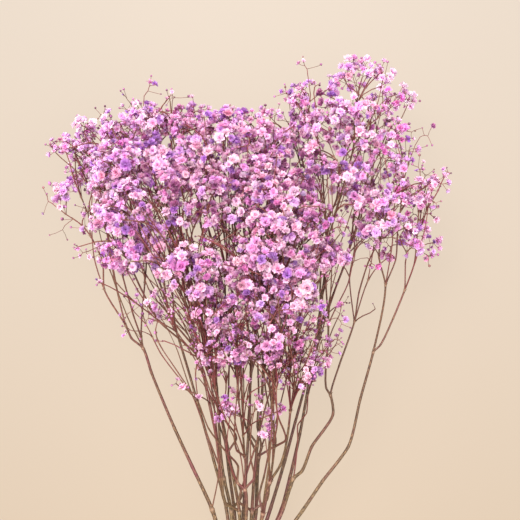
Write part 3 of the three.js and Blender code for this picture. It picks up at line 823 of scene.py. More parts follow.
def add_side_twigs(root, name, spray, rng):
    """Fine short twigs with a few small florets, in every direction from the higher wood."""
    starts = [k for k in knots_of(root) if k.bloom == 0 and k.at[1] > SIDE_LOWEST]
    for _ in range(round(SIDE_TWIGS * FULLNESS[name][1])):
        start = starts[rng.integers(len(starts))]
        aim = tuft(add(start.at, scale(side_way(start, rng), rng.uniform(*SIDE_LENGTH))), [5, 5, 5], 1)
        add_runner(start, aim, spray, rng, bloom=SIDE_BLOOM)


def runner_places(start, goal, parts, elbow, rng):
    """Points along a runner: out of its knot, by an elbow if it has one, and in a bow up to its goal."""
    way = sub(goal, start.at)
    bow = scale(sub(start.heading, unit(way)), RUNNER_BOW * size(way))
    bow = strayed(bow, 0.04 * size(way), rng)
    bow = add(bow, (0, 0, RUNNER_RISE * rng.uniform(0, 1) ** 2))
    places = [start.at]
    aside = scale(unit(cross(start.heading, random_way(rng))), elbow * rng.uniform(0.7, 1.3))
    if elbow:
        places.append(add(add(start.at, scale(start.heading, elbow)), aside))
    for i in range(1, parts + 1):
        t = i / parts
        place = add(between(start.at, goal, t), scale(bow, 4 * t * (1 - t)))
        place = strayed(add(place, scale(aside, 1.2 * (1 - t))), RUNNER_WAVER, rng)
        places.append((place[0], place[1], min(place[2], RUNNER_TOP)))
    return places


def runs_clear(start, places, spray):
    """Whether a runner leaves its knot without a sharp bend and touches no other wood."""
    if dot(unit(sub(places[1], places[0])), start.heading) < RUNNER_SHARPEST:
        return False
    base = between(places[0], places[1], 0.3)
    if not rods.clear(base, places[1], RUNNER_RADIUS, spray, start.number, wood=True):
        return False
    return all(rods.clear(a, b, RUNNER_RADIUS, spray, wood=True) for a, b in zip(places[1:], places[2:]))


def add_runner(start, part, spray, rng, elbow=0, stray=0, bloom=RUNNER_BLOOM):
    """One long thin branch from a knot to a place in a tuft, with a small cluster at its end."""
    base, taper = ELBOW_WOOD if elbow else (1.4 + 0.5 * bloom, bloom)
    for _ in range(RUNNER_TRIES):
        inside = scale(random_way(rng), rng.uniform(0.3, 1) ** 0.5)
        goal = add(within(part, inside), (stray * rng.uniform(-1, 1), 0, 0))
        goal = raised(goal, RUNNER_LOWEST)
        if share_at(goal) < rng.random():
            continue
        parts = max(2, round(size(sub(goal, start.at)) / RUNNER_STEP))
        places = runner_places(start, goal, parts, elbow, rng)
        if not runs_clear(start, places, spray):
            continue
        last = start
        for i, place in enumerate(places[1:]):
            grown = Knot(place, TWIG_RADIUS * (base - taper * i / parts), last)
            last.next.append(grown)
            rods.add(last.at, place, RUNNER_RADIUS, spray, last.number, grown.number)
            last = grown
        last.bloom = bloom * FLORET_RADIUS
        last.facing = last.heading
        last.middle = add(last.at, scale(last.heading, FLORET["height"] * last.bloom))
        return


def thickness(knot):
    """The real radius of the wood or pedicel that leads to a knot."""
    if knot.radius > 0:
        power = np.interp(knot.at[1], (40, 160), WOOD_POWERS)
        return WOOD_RADIUS * (knot.radius / TWIG_RADIUS) ** power
    return PEDICEL_RADIUS * knot.tips ** PEDICEL_POWER


def paths_of(root):
    """A tree as paths: each goes on into the thickest branch, and the others start new ones."""
    found = []
    starts = [[root, root.next[0]]]
    while starts:
        path = starts.pop()
        while path[-1].next:
            branches = sorted(path[-1].next, key=thickness, reverse=True)
            starts += [[path[-1], branch] for branch in branches[1:]]
            path.append(branches[0])
        found.append(path)
    return found


# Meshes
class Skin:
    """A mesh being made. The widths are those of the values that its material reads at each point."""

    def __init__(self, **widths):
        self.points, self.faces, self.used = [], [], 0
        self.widths = widths
        self.values = {name: [] for name in widths}

    def add(self, points, faces, **values):
        self.points.append(points)
        self.faces.append(faces + self.used)
        self.used += len(points)
        for name, width in self.widths.items():
            shape = (len(points), width) if width > 1 else len(points)
            self.values[name].append(np.broadcast_to(np.asarray(values[name], float), shape))

    def piece(self, name, material, slot, *nodes):
        """The gathered mesh as an object in metres that rides with the part and replaces its nodes."""
        points = (np.concatenate(self.points) + shift) * 0.001
        points[:, 2] = np.maximum(points[:, 2], FLOOR_GAP)
        faces = np.concatenate(self.faces)
        mesh = bpy.data.meshes.new(name)
        mesh.vertices.add(len(points))
        mesh.vertices.foreach_set("co", points.ravel())
        mesh.loops.add(faces.size)
        mesh.loops.foreach_set("vertex_index", faces.ravel())
        mesh.polygons.add(len(faces))
        mesh.polygons.foreach_set("loop_start", np.arange(0, faces.size, 3))
        mesh.polygons.foreach_set("use_smooth", np.ones(len(faces), bool))
        for value_name, width in self.widths.items():
            values = np.concatenate(self.values[value_name])
            kind, key = ("FLOAT", "value") if width == 1 else ("FLOAT_VECTOR", "vector")
            mesh.attributes.new(value_name, kind, "POINT").data.foreach_set(key, values.ravel())
        mesh.update()
        mesh.validate()
        mesh.materials.append(material)
        obj = bpy.data.objects.new(name, mesh)
        bpy.context.scene.collection.objects.link(obj)
        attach(obj, "root")
        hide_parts(*nodes)


def ring_faces(rings, sides, closed=False):
    """Two triangles for each square between neighbouring rings, the last of which may join the first."""
    ring, side = np.meshgrid(np.arange(rings if closed else rings - 1), np.arange(sides), indexing="ij")
    a = (ring * sides + side).ravel()
    b = (ring * sides + (side + 1) % sides).ravel()
    over_a, over_b = (a + sides) % (rings * sides), (b + sides) % (rings * sides)
    return np.concatenate([np.stack([a, b, over_b], 1), np.stack([a, over_b, over_a], 1)])


def cap_faces(sides):
    """Triangles that close the first ring."""
    rim = np.arange(1, sides - 1)
    return np.stack([0 * rim, rim + 1, rim], 1)


def strip_faces(rows):
    """Two triangles for each square of a strip that is three points wide."""
    corners = np.array([3 * row + column for row in range(rows - 1) for column in (0, 1)])
    return (corners[:, None, None] + [[0, 1, 4], [0, 4, 3]]).reshape(-1, 3)


def turns_round(sides):
    """The angles of points that are spread evenly round a ring."""
    return 2 * np.pi * np.arange(sides) / sides


def turned_points(profile, sides, ribs=0.0):
    """Rings of points round Z, from a profile of heights and radii."""
    turn = turns_round(sides)
    ribbed = 1 + ribs * np.cos(3 * turn)
    rings = []
    for up, r in profile:
        x, y = r * ribbed * np.cos(turn), r * ribbed * np.sin(turn)
        rings.append(np.stack([x, y, np.full(sides, up)], 1))
    return np.concatenate(rings)


TUBE_SIDES = ((1.2, 10), (0.7, 8), (0.42, 6), (0.26, 4), (0, 3))  # by radius
RING_STEP = 6.5  # rings along wood lie this far apart
PEDICEL_STEP = 4.2
CURVED = 0.75  # how round wood bends at its knots
SWELLING = 0.34  # wood is this much thicker at a fork
SWOLLEN = 1.8  # and for this many radii on either side
PLAIN_KNOT = 0.25  # and has this share of that at a knot that bears nothing
THICK = 0.45  # wood over this radius has more rings near its knots,
CLOSE_RINGS = (0.8, 2.0, 3.6)  # this many radii from them
CROSSWISE = (0.31, 0.17, 0.94)  # no wood starts in this direction
BRACT_WOOD = 0.4  # forks over this radius, as in the solids, have bracts
BRACT_SIZES = (1.3, 2.6)
BRACT_ROWS = ((0, 0.75), (0.35, 1.0), (0.7, 0.6), (1, 0.05))  # share of its length, share of its width


def trace_path(path):
    """The centres, radii, knottiness and lengths of the rings along a path of knots."""
    at = [np.array(k.at) for k in path]
    ways = [b - a for a, b in zip(at, at[1:])]
    ways = [w / max(np.linalg.norm(w), 1e-6) for w in ways]
    turns = [ways[0]] + [a + b for a, b in zip(ways, ways[1:])] + [ways[-1]]
    if hasattr(path[-1], "facing"):
        turns[-1] = ways[-1] + np.array(path[-1].facing)
    if path[0].next[0] is not path[1]:
        turns[0] = ways[0] + 0.8 * np.array(path[0].heading)
    turns = [t / max(np.linalg.norm(t), 1e-6) for t in turns]
    centres, radii, knotty, along = [], [], [], []
    gone = 0.0
    for i, end in enumerate(path[1:]):
        length = float(np.linalg.norm(at[i + 1] - at[i]))
        radius = thickness(end)
        wooden = end.radius > 0
        step = RING_STEP if wooden else PEDICEL_STEP
        t = np.linspace(0, 1, 1 + max(1 if length < 0.6 * step else 2, round(length / step)))
        if radius > THICK:
            near = np.array(CLOSE_RINGS) * radius / length
            near = near[near < 0.4]
            t = np.unique(np.concatenate([t, near, 1 - near]))
            t = t[np.concatenate([[True], np.diff(t) > 0.35 * radius / length])]
            t[-1] = 1.0
        h = t[:, None]
        bend = CURVED * length
        line = ((2 * h ** 3 - 3 * h ** 2 + 1) * at[i] + (h ** 3 - 2 * h ** 2 + h) * bend * turns[i]
                + (3 * h ** 2 - 2 * h ** 3) * at[i + 1] + (h ** 3 - h ** 2) * bend * turns[i + 1])
        swollen = SWOLLEN * radius / length
        knobs = [1 if len(k.next) > 1 else PLAIN_KNOT for k in (path[i], end)]
        bump = knobs[0] * np.exp(-(t / swollen) ** 2) + knobs[1] * np.exp(-((1 - t) / swollen) ** 2)
        bump *= wooden
        ring = radius * (1 + 0.1 * (1 - t) + SWELLING * bump)
        if centres:
            radii[-1][-1] = max(radii[-1][-1], ring[0])
            line, ring, bump, t = line[1:], ring[1:], bump[1:], t[1:]
        centres.append(line)
        radii.append(ring)
        knotty.append(bump)
        along.append(gone + t * length)
        gone += length
    return tuple(np.concatenate(x) for x in (centres, radii, knotty, along))


def tube(centres, radii, sides, capped):
    """Rings round a line, joined by triangles, with the turn of each point round the line."""
    ways = np.gradient(centres, axis=0)
    ways /= np.linalg.norm(ways, axis=1)[:, None] + 1e-9
    across = np.cross(ways[0], CROSSWISE)
    frames = []
    for way in ways:
        across = across - way * (across @ way)
        across = across / np.linalg.norm(across)
        frames.append((across, np.cross(way, across)))
    frames = np.array(frames)[:, :, None]
    turn = turns_round(sides)
    out = np.cos(turn)[:, None] * frames[:, 0] + np.sin(turn)[:, None] * frames[:, 1]
    points = (centres[:, None] + radii[:, None, None] * out).reshape(-1, 3)
    faces = ring_faces(len(centres), sides)
    if capped:
        faces = np.concatenate([faces, cap_faces(sides)])
    return points, faces, np.tile(turn, len(centres))


def add_wood(skin, root, rng):
    """The wood and pedicels of a spray."""
    for path in paths_of(root):
        centres, radii, knotty, along = trace_path(path)
        sides = next(s for least, s in TUBE_SIDES if thickness(path[1]) >= least)
        points, faces, turns = tube(centres, radii, sides, path[0] is root)
        grain = np.stack([np.cos(turns), np.sin(turns), np.repeat(0.12 * along, sides)], 1)
        fine = np.repeat(np.clip(1.25 - 1.5 * radii, 0, 1), sides)
        knotty = np.repeat(knotty, sides)
        skin.add(points, faces, grain=grain, knotty=knotty, stain=rng.random(), fine=fine)
        for knot in path[:-1]:
            if knot.radius > BRACT_WOOD and len(knot.next) > 1:
                add_bracts(skin, knot, rng)


def add_bracts(skin, knot, rng):
    """Two dry pointed scales, one on either side of a knot."""
    heading = np.array(knot.heading)
    side = np.cross(heading, rng.normal(size=3))
    side /= np.linalg.norm(side)
    radius = thickness(knot)
    for out in (side, -side):
        length = rng.uniform(*BRACT_SIZES) * min(1, 0.5 + 0.5 * radius)
        width = 0.55 * min(radius, 0.5 * length)
        tangent = np.cross(heading, out)
        lean = rng.uniform(0.25, 0.7)
        sunk = 0.12 * radius * out
        points = []
        for u, w in BRACT_ROWS:
            off = out * (1.15 * radius + lean * length * u * u)
            middle = np.array(knot.at) + off + heading * length * u
            edge = tangent * width * w
            points += [middle - edge - sunk, middle + 0.15 * out, middle + edge - sunk]
        points = np.array(points)
        skin.add(points, strip_faces(len(BRACT_ROWS)), grain=0.3 * points, knotty=1.0,
                 stain=rng.random(), fine=0.0)


# A double floret: rings of notched petals, steeper towards the middle, over a small calyx. It is
# one across from its middle, and opens along Z.
LARGE_RINGS = (  # petals, tilt, length, width
    (6, 1.4, 0.94, 0.86),
    (6, 1.0, 0.98, 0.82),
    (5, 0.64, 1.0, 0.74),
    (3, 0.28, 0.96, 0.72),
)
SMALL_RINGS = (
    (5, 1.3, 0.96, 0.94),
    (5, 0.82, 1.0, 0.84),
    (3, 0.32, 0.98, 0.8),
)
SMALL = 3.0  # florets under this radius have the fewer petals
PETAL_ROWS = (0.0, 0.58, 1.0)
PETAL_WIDTHS = (0.26, 0.94, 0.74)
PETAL_START = (0.08, 0.3)  # out from the axis, and up
NOTCH = 0.1
RUFFLE = 0.08
TWIST = 0.25
CUPPED = 0.16
LUMPINESS = 0.16  # how much one side's petals are longer and lie flatter than the other's
CALYX_PROFILE = ((0.0, 0.06), (0.14, 0.19), (0.4, 0.16))  # up the axis, radius
CALYX_SIDES = 5


def petal_points(rng, tilt, length, width):
    """One petal's points: out from the axis, to the side and up, and how far each is to its tip."""
    out, up = PETAL_START
    points, reaches = [], []
    twist = rng.normal() * TWIST
    for row, (u, wide) in enumerate(zip(PETAL_ROWS, PETAL_WIDTHS)):
        angle = tilt * (0.5 + 0.75 * u)
        if row:
            step = length * (u - PETAL_ROWS[row - 1])
            out += step * math.sin(angle)
            up += step * math.cos(angle)
        for v in (-1, 0, 1):
            back = NOTCH * length if u == 1 and v == 0 else 0
            lift = CUPPED * abs(v) * width + twist * v * u * width * 0.5
            lift += rng.normal() * RUFFLE * (0.3 + u)
            points.append((out - back * math.sin(angle) - lift * math.cos(angle),
                           0.5 * v * width * wide,
                           up - back * math.cos(angle) + lift * math.sin(angle)))
            reaches.append(u - 0.15 * (v == 0))
    return np.array(points), np.array(reaches)


def floret_shape(rng, opening, petal_rings):
    """A floret's points and triangles, and at each point its reach (-1 on the calyx) and its tone."""
    points, faces, reach, tone = [], [], [], []
    petal_faces = strip_faces(len(PETAL_ROWS))
    used = 0
    long_side = rng.uniform(0, 2 * math.pi)
    for ring, (petals, tilt, length, width) in enumerate(petal_rings):
        for i in range(petals):
            around = 2 * math.pi * (i + rng.uniform(-0.22, 0.22) + 0.37 * ring) / petals
            lump = 1 + LUMPINESS * math.cos(around - long_side)
            tilted = tilt * opening * lump * rng.uniform(0.8, 1.18)
            reached = length * lump * rng.uniform(0.8, 1.12)
            local, reaches = petal_points(rng, tilted, reached, width * rng.uniform(0.85, 1.15))
            c, s = math.cos(around), math.sin(around)
            points.append(local @ np.array([[c, s, 0], [-s, c, 0], [0, 0, 1]]))
            faces.append(petal_faces + used)
            reach.append(reaches)
            tone.append(np.full(len(local), rng.uniform(0.86, 1.1)))
            used += len(local)
    calyx = turned_points(CALYX_PROFILE, CALYX_SIDES)
    points.append(calyx)
    faces.append(ring_faces(len(CALYX_PROFILE), CALYX_SIDES) + used)
    reach.append(np.full(len(calyx), -1.0))
    tone.append(np.ones(len(calyx)))
    return tuple(np.concatenate(x) for x in (points, faces, reach, tone))


BUD_PROFILE = ((0.0, 0.3), (0.5, 0.94), (1.2, 0.9), (1.85, 0.25))
BUD_SIDES = 6
BUD_RIBS = 0.1


def bud_shape():
    """A closed bud, one in radius, with its triangles and how far up each point is."""
    foot = cap_faces(BUD_SIDES)
    top = foot[:, ::-1] + (len(BUD_PROFILE) - 1) * BUD_SIDES
    faces = np.concatenate([ring_faces(len(BUD_PROFILE), BUD_SIDES), top, foot])
    heights = np.repeat([up / BUD_PROFILE[-1][0] for up, _ in BUD_PROFILE], BUD_SIDES)
    return turned_points(BUD_PROFILE, BUD_SIDES, BUD_RIBS), faces, heights


def turned_to(facing, roll):
    """Rows are where X, Y and Z go when Z is turned to a facing."""
    z = np.array(facing)
    x = np.cross((0.0, 0.0, 1.0) if abs(z[2]) < 0.9 else (1.0, 0.0, 0.0), z)
    x /= np.linalg.norm(x)
    y = np.cross(z, x)
    c, s = math.cos(roll), math.sin(roll)
    return np.array([c * x + s * y, c * y - s * x, z])


# Dye colours in sRGB, with the share of florets that take each
DYES = (
    ((247, 213, 231), 0.24),  # pale pink
    ((248, 202, 228), 0.3),  # pink
    ((240, 182, 228), 0.16),  # orchid
    ((230, 190, 238), 0.12),  # lilac
    ((188, 130, 210), 0.06),  # violet
    ((222, 138, 202), 0.05),  # magenta
    ((224, 170, 196), 0.04),  # faded rose
    ((168, 92, 146), 0.03),  # plum
)
PALE, LILAC, VIOLET, PLUM = 0, 3, 4, 7
# Places where florets take one dye more often, plum as painted shade and pale as painted light: middle and
# half sizes across the bunch, dye, how many times more
PAINTED_SHADE_AND_LIGHT = (
    ((52, 298), (30, 20), PLUM, 6),
    ((10, 184), (16, 16), PLUM, 14),
    ((14, 292), (30, 24), PLUM, 5),
    ((12, 264), (14, 14), PLUM, 12),
    ((-44, 268), (15, 14), PLUM, 5),
    ((-16, 212), (16, 15), PLUM, 5),
    ((-72, 297), (22, 16), PALE, 2.5),
    ((0, 238), (44, 9), PALE, 2.5),
)
FAVOURITE_SHARE = 0.35  # of the florets have their neighbours' dye
FRONT_PAINTED_LIGHT = (70, 120, 0.9)  # painted light: from one height to the other the pale dye gains up to this share, so higher florets look more lit
SIDE_HALF = 80  # up to this far to each side the violet dyes gain more and more
LEFT_VIOLET, RIGHT_VIOLET = 1.8, 0.9
# Painted light: florets are lighter towards the bunch's edges: which coordinate, from where to where, and by
# what share
PAINTED_EDGE_LIGHT = ((1, 280, 340, 0.14), (0, -60, -90, 0.14), (0, 75, 100, 0.12))
SHAPES = 10  # different florets of each kind
SHUT_SHARE = 0.14  # of the florets are half open
SHUT_SIZE = 0.78
SHUT_DARKER = 0.7
BUD_TINTS = ((106, 58, 80), (136, 78, 108), (90, 50, 66), (170, 104, 150), (134, 90, 86))
FLOOR_GAP = 0.0002  # metres that petals pressed on the table stay above it


def linear(colour):
    """An sRGB colour from 0 to 255 as linear light."""
    c = np.array(colour, float) / 255
    return np.where(c <= 0.04045, c / 12.92, ((c + 0.055) / 1.055) ** 2.4)


def tips_of(root, kind):
    return [k for k in knots_of(root) if getattr(k, "kind", None) == kind]


def far(value, start, end):
    """How far a value is from start to end, from 0 to 1."""
    return np.clip((value - start) / (end - start), 0, 1)


def pick_dye_with_painted_light(middle, favourite, rng):
    """A floret's colour: often its neighbours' dye, more violet at the sides, with painted light making it
    paler at the front and lighter at the edges, and painted shade and light in listed places.
    """
    if rng.random() < FAVOURITE_SHARE:
        dye = favourite
    else:
        shares = np.array([share for _, share in DYES])
        # Painted light: higher florets take the pale dye more often
        low, high, more = FRONT_PAINTED_LIGHT
        shares[PALE] *= 1 + more * far(middle[2], low, high)
        # Painted shade and light: more plum dye where shade is painted, more pale dye where light is painted
        for (mx, my), (hx, hy), often, times in PAINTED_SHADE_AND_LIGHT:
            if math.hypot((middle[0] - mx) / hx, (middle[1] - my) / hy) < 1:
                shares[often] *= times
        more = LEFT_VIOLET if middle[0] < 0 else RIGHT_VIOLET
        shares[[VIOLET, LILAC]] *= 1 + far(abs(middle[0]), 0, SIDE_HALF) * more
        dye = rng.choice(len(DYES), p=shares / shares.sum())
    # Painted light: lighter towards the bunch's edges, on top of each floret's random lightness
    edge = sum(more * far(middle[i], start, end) for i, start, end, more in PAINTED_EDGE_LIGHT)
    light = rng.uniform(0.92, 1.13) * (1 + edge)
    return linear(DYES[dye][0]) * light * rng.uniform(0.95, 1.05, 3)


def placed(points, tip, radius, rng):
    """The points of a floret or bud, turned at random round its axis and set at the end of its stalk."""
    return points @ turned_to(tip.facing, rng.uniform(0, 2 * math.pi)) * radius + np.array(tip.at)


def add_florets(skin, root, rng):
    favourite = 0
    for i, tip in enumerate(tips_of(root, "floret")):
        if i % 5 == 0:
            favourite = rng.choice(len(DYES), p=[share for _, share in DYES])
        shut = rng.random() < SHUT_SHARE
        shapes = shut_shapes if shut else small_shapes if tip.size < SMALL else large_shapes
        points, faces, reach, tone = shapes[rng.integers(len(shapes))]
        radius = tip.size * (SHUT_SIZE if shut else 1)
        skin_points = placed(points * rng.uniform(0.9, 1.12, 3), tip, radius, rng)
        colour = pick_dye_with_painted_light(tip.at, favourite, rng) * (SHUT_DARKER if shut else 1)
        skin.add(skin_points, faces, dye=np.clip(colour * tone[:, None], 0, 1), reach=reach)


def add_buds(skin, root, rng):
    points, faces, heights = bud_shape()
    for tip in tips_of(root, "bud"):
        stretch = np.array([1, 1, rng.uniform(0.8, 1.35)])
        skin_points = placed(points * stretch, tip, tip.size, rng)
        tint = linear(BUD_TINTS[rng.integers(len(BUD_TINTS))]) * rng.uniform(0.8, 1.25)
        skin.add(skin_points, faces, dye=np.tile(tint, (len(points), 1)), reach=heights)


BAND_STEPS = 240
BAND_SIDES = 12
BAND_CROSSING = 1.3  # of its last turn, in radians, the strand takes to cross back
BAND_AWAY = 0.15  # it stays this far off the stems
BAND_SECTION = (0.46, 0.44)  # half sizes of its section, in widths and thicknesses
BAND_SQUARE = 0.6  # a section is squarer with a lower power


def squared(wave):
    """A circle's sines or cosines, made squarer."""
    return np.sign(wave) * np.abs(wave) ** BAND_SQUARE


def add_band(skin, stems):
    """A rubber band wound round the stems: its strand goes round side by side and crosses back."""
    turns, width, thick = BAND["turns"], BAND["strand_width"], BAND["thickness"]
    turn = np.linspace(0, 2 * math.pi * turns, BAND_STEPS, endpoint=False)
    reach = np.max([math.hypot(x, z) * np.cos(turn - math.atan2(z, x)) + r for x, z, r in stems], axis=0)
    reach = np.convolve(np.concatenate([reach[-3:], reach, reach[:3]]), np.ones(7) / 7, "valid")
    last = 2 * math.pi * turns - BAND_CROSSING
    back = np.clip((turn - last) / BAND_CROSSING, 0, 1)
    side = 0.5 * (turns - 1) * width
    crossed = side - 2 * side * back * back * (3 - 2 * back)
    along = np.where(turn < last, -side + 2 * side * turn / last, crossed)
    over = np.clip((turn - last + 0.5) / (BAND_CROSSING + 1), 0, 1)
    middle = reach + 0.5 * thick + BAND_AWAY + 1.05 * thick * np.sin(math.pi * over) ** 2
    centre = np.stack([middle * np.cos(turn), along, BAND_HEIGHT + middle * np.sin(turn)], 1)
    outward = np.stack([np.cos(turn), 0 * turn, np.sin(turn)], 1)
    way = np.roll(centre, -1, axis=0) - np.roll(centre, 1, axis=0)
    way /= np.linalg.norm(way, axis=1)[:, None]
    sideways = np.cross(way, outward)
    sideways /= np.linalg.norm(sideways, axis=1)[:, None]
    outward = np.cross(sideways, way)
    around = turns_round(BAND_SIDES)[:, None]
    across = BAND_SECTION[0] * width * squared(np.cos(around)) * sideways[:, None]
    points = centre[:, None] + across + BAND_SECTION[1] * thick * squared(np.sin(around)) * outward[:, None]
    faces = ring_faces(BAND_STEPS, BAND_SIDES, closed=True)[:, ::-1]
    skin.add(points.reshape(-1, 3), faces, dust=np.repeat(np.abs(np.sin(7 * turn)), BAND_SIDES))


# Materials
def paint(colour):
    """A colour as a socket takes it: from sRGB, a grey from 0 to 1, or an array of linear light."""
    if isinstance(colour, (int, float)):
        colour = np.full(3, colour)
    return (*(colour if isinstance(colour, np.ndarray) else linear(colour)), 1)


class Shader:
    """The node tree of a material or the world being made, and short ways to add and join nodes."""

    def __init__(self, owner, coordinates="Object"):
        self.owner = owner
        owner.use_nodes = True
        self.tree = owner.node_tree
        self.tree.nodes.clear()
        self.place = self.node("TexCoord").outputs[coordinates]

    def node(self, kind, **settings):
        made = self.tree.nodes.new("ShaderNode" + kind)
        for name, value in settings.items():
            if name in made.inputs:
                made.inputs[name].default_value = value
            else:
                setattr(made, name, value)
        return made

    def join(self, output, target):
        self.tree.links.new(output, target)

    def value(self, name, output="Fac"):
        """One of the values that the mesh has at each point."""
        return self.node("Attribute", attribute_name=name).outputs[output]

    def axis(self, name):
        split = self.node("SeparateXYZ")
        self.join(self.place, split.inputs[0])
        return split.outputs[name]

    def far(self, value, start, end):
        """How far a value is from start to end, from 0 to 1."""
        made = self.node("MapRange", **{"From Min": start, "From Max": end})
        self.join(value, made.inputs["Value"])
        return made.outputs["Result"]

    def maths(self, operation, *values):
        made = self.node("Math", operation=operation)
        for value, target in zip(values, made.inputs):
            self.join(value, target)
        return made.outputs[0]

    def ramp(self, factor, *stops, ease="LINEAR"):
        """Colours along a factor, as (position, colour)."""
        ramp = self.node("ValToRGB")
        ramp.color_ramp.interpolation = ease
        for i, (at, colour) in enumerate(stops):
            stop = ramp.color_ramp.elements[i] if i < 2 else ramp.color_ramp.elements.new(at)
            stop.position = at
            stop.color = paint(colour)
        self.join(factor, ramp.inputs["Fac"])
        return ramp.outputs["Color"]

    def mix(self, factor, a, b, blend="MIX"):
        mixer = self.node("Mix", data_type="RGBA", blend_type=blend)
        for i, end in ((0, factor), (6, a), (7, b)):
            if isinstance(end, bpy.types.NodeSocket):
                self.join(end, mixer.inputs[i])
            else:
                mixer.inputs[i].default_value = end if i == 0 else paint(end)
        return mixer.outputs[2]

    def tint(self, a, b):
        return self.mix(1.0, a, b, "MULTIPLY")

    def noise(self, scale, detail=3.0, rough=0.5, vector=None):
        noise = self.node("TexNoise", Scale=scale, Detail=detail, Roughness=rough)
        self.join(vector or self.place, noise.inputs["Vector"])
        return noise.outputs["Fac"]

    def bump(self, height, distance, strength):
        bump = self.node("Bump", Strength=strength, Distance=distance)
        self.join(height, bump.inputs["Height"])
        return bump.outputs["Normal"]

    def finish(self, colour, roughness, normal=None, glow=None, through=0.0, **settings):
        """A Principled surface, with a share of light passing through it."""
        surface = self.node("BsdfPrincipled", Roughness=roughness, **settings)
        for name, output in (("Base Color", colour), ("Normal", normal), ("Emission Color", glow)):
            if output is not None:
                self.join(output, surface.inputs[name])
        shown = surface.outputs["BSDF"]
        if through:
            translucent = self.node("BsdfTranslucent")
            self.join(colour, translucent.inputs["Color"])
            mixer = self.node("MixShader", Fac=through)
            self.join(shown, mixer.inputs[1])
            self.join(translucent.outputs["BSDF"], mixer.inputs[2])
            shown = mixer.outputs["Shader"]
        self.join(shown, self.node("OutputMaterial").inputs["Surface"])
        return self.owner


def new_shader(name):
    return Shader(bpy.data.materials.new(name))


def petal_material():
    """Dyed petals: mottled, darker at the heart, paler at the tips, over a brownish calyx."""
    s = new_shader("petals")
    reach = s.value("reach")
    colour = s.tint(s.value("dye", "Color"), s.ramp(s.noise(900, 4, 0.6), (0.3, 0.86), (0.7, 1.06)))
    violet = s.tint(colour, (212, 184, 250))
    colour = s.mix(s.ramp(s.noise(260, 2, 0.5), (0.56, 0.0), (0.7, 0.7)), colour, violet)
    magenta = s.tint(colour, (236, 160, 206))
    colour = s.mix(s.ramp(s.noise(420, 3, 0.6), (0.52, 0.0), (0.68, 0.6)), colour, magenta)
    heart = s.tint(colour, (236, 178, 222))
    colour = s.mix(s.ramp(reach, (0.1, 1.0), (0.55, 0.0), ease="EASE"), colour, heart)
    colour = s.mix(s.ramp(reach, (0.6, 0.0), (1.0, 0.2)), colour, (250, 220, 234))
    calyx = s.mix(s.noise(500), (146, 98, 98), (190, 120, 160))
    colour = s.mix(s.ramp(reach, (0.0, 1.0), (0.01, 0.0), ease="CONSTANT"), colour, calyx)
    veins = s.bump(s.noise(2400, 2, 0.5), 0.00012, 0.5)
    soft = {"Sheen Weight": 0.12, "Specular IOR Level": 0.2}
    return s.finish(colour, 0.78, veins, through=0.38, **soft)


def wood_material():
    """Streaked bark, greener at the foot, with stained patches, reddish twigs and pale knots."""
    s = new_shader("wood")
    streaks = s.noise(3.2, 4, 0.6, s.value("grain", "Vector"))
    stain = s.value("stain")
    bark = s.ramp(streaks, (0.3, (34, 18, 12)), (0.5, (80, 50, 35)), (0.7, (160, 122, 88)))
    green = s.ramp(streaks, (0.3, (34, 26, 12)), (0.5, (84, 68, 38)), (0.7, (172, 148, 98)))
    low = s.far(s.axis("Y"), 0.02, -0.16)
    colour = s.mix(s.maths("MULTIPLY", low, s.ramp(stain, (0.3, 0.25), (0.6, 1.0))), bark, green)
    colour = s.mix(s.ramp(s.noise(30, 3, 0.6), (0.5, 0.0), (0.66, 0.6)), colour, (104, 40, 54))
    twig = s.ramp(stain, (0.0, (94, 38, 36)), (0.5, (130, 48, 58)), (1.0, (98, 66, 40)))
    colour = s.mix(s.value("fine"), colour, twig)
    colour = s.mix(s.ramp(s.value("knotty"), (0.5, 0.0), (1.0, 0.4)), colour, (176, 142, 116))
    return s.finish(colour, 0.5, s.bump(streaks, 0.00025, 0.6), **{"Specular IOR Level": 0.5})


def bud_material():
    """Dark buds, dyed and mottled, with violet tops."""
    s = new_shader("buds")
    colour = s.tint(s.value("dye", "Color"), s.ramp(s.noise(1100), (0.3, 0.75), (0.7, 1.15)))
    colour = s.mix(s.ramp(s.value("reach"), (0.45, 0.0), (1.0, 0.55)), colour, (196, 120, 190))
    return s.finish(colour, 0.65, s.bump(s.noise(1800), 0.0001, 0.5))


def rubber_material():
    """Tan rubber, dusty in places."""
    s = new_shader("rubber")
    colour = s.ramp(s.noise(260, 5, 0.6), (0.3, (176, 140, 92)), (0.7, (214, 184, 136)))
    colour = s.mix(s.ramp(s.value("dust"), (0.0, 0.0), (1.0, 0.25)), colour, (226, 206, 170))
    return s.finish(colour, 0.5, s.bump(s.noise(1500), 0.0001, 0.4), through=0.12)


PAPER_ENDS = (-0.28, 0.46)  # metres up the bunch from its middle to the lowest and highest colour of the painted pool of light
# The paper's colours are a painted pool of light, darker low in the picture and lighter high up
PAPER_LOW, PAPER_MIDDLE, PAPER_HIGH = (226, 201, 172), (241, 223, 203), (243, 230, 216)
PAPER_SIDES = (0.02, 0.22)  # painted shade darkens it from this far to this far to each side of the middle
PAPER_SIDE_SHADE = 0.955
# The paper glows with painted light, so that the bunch's shadow on it hardly shows
PAPER_GLOW = 0.84
PAPER_SHARE = 0.06  # how much of its colour it also has in the lamps' light


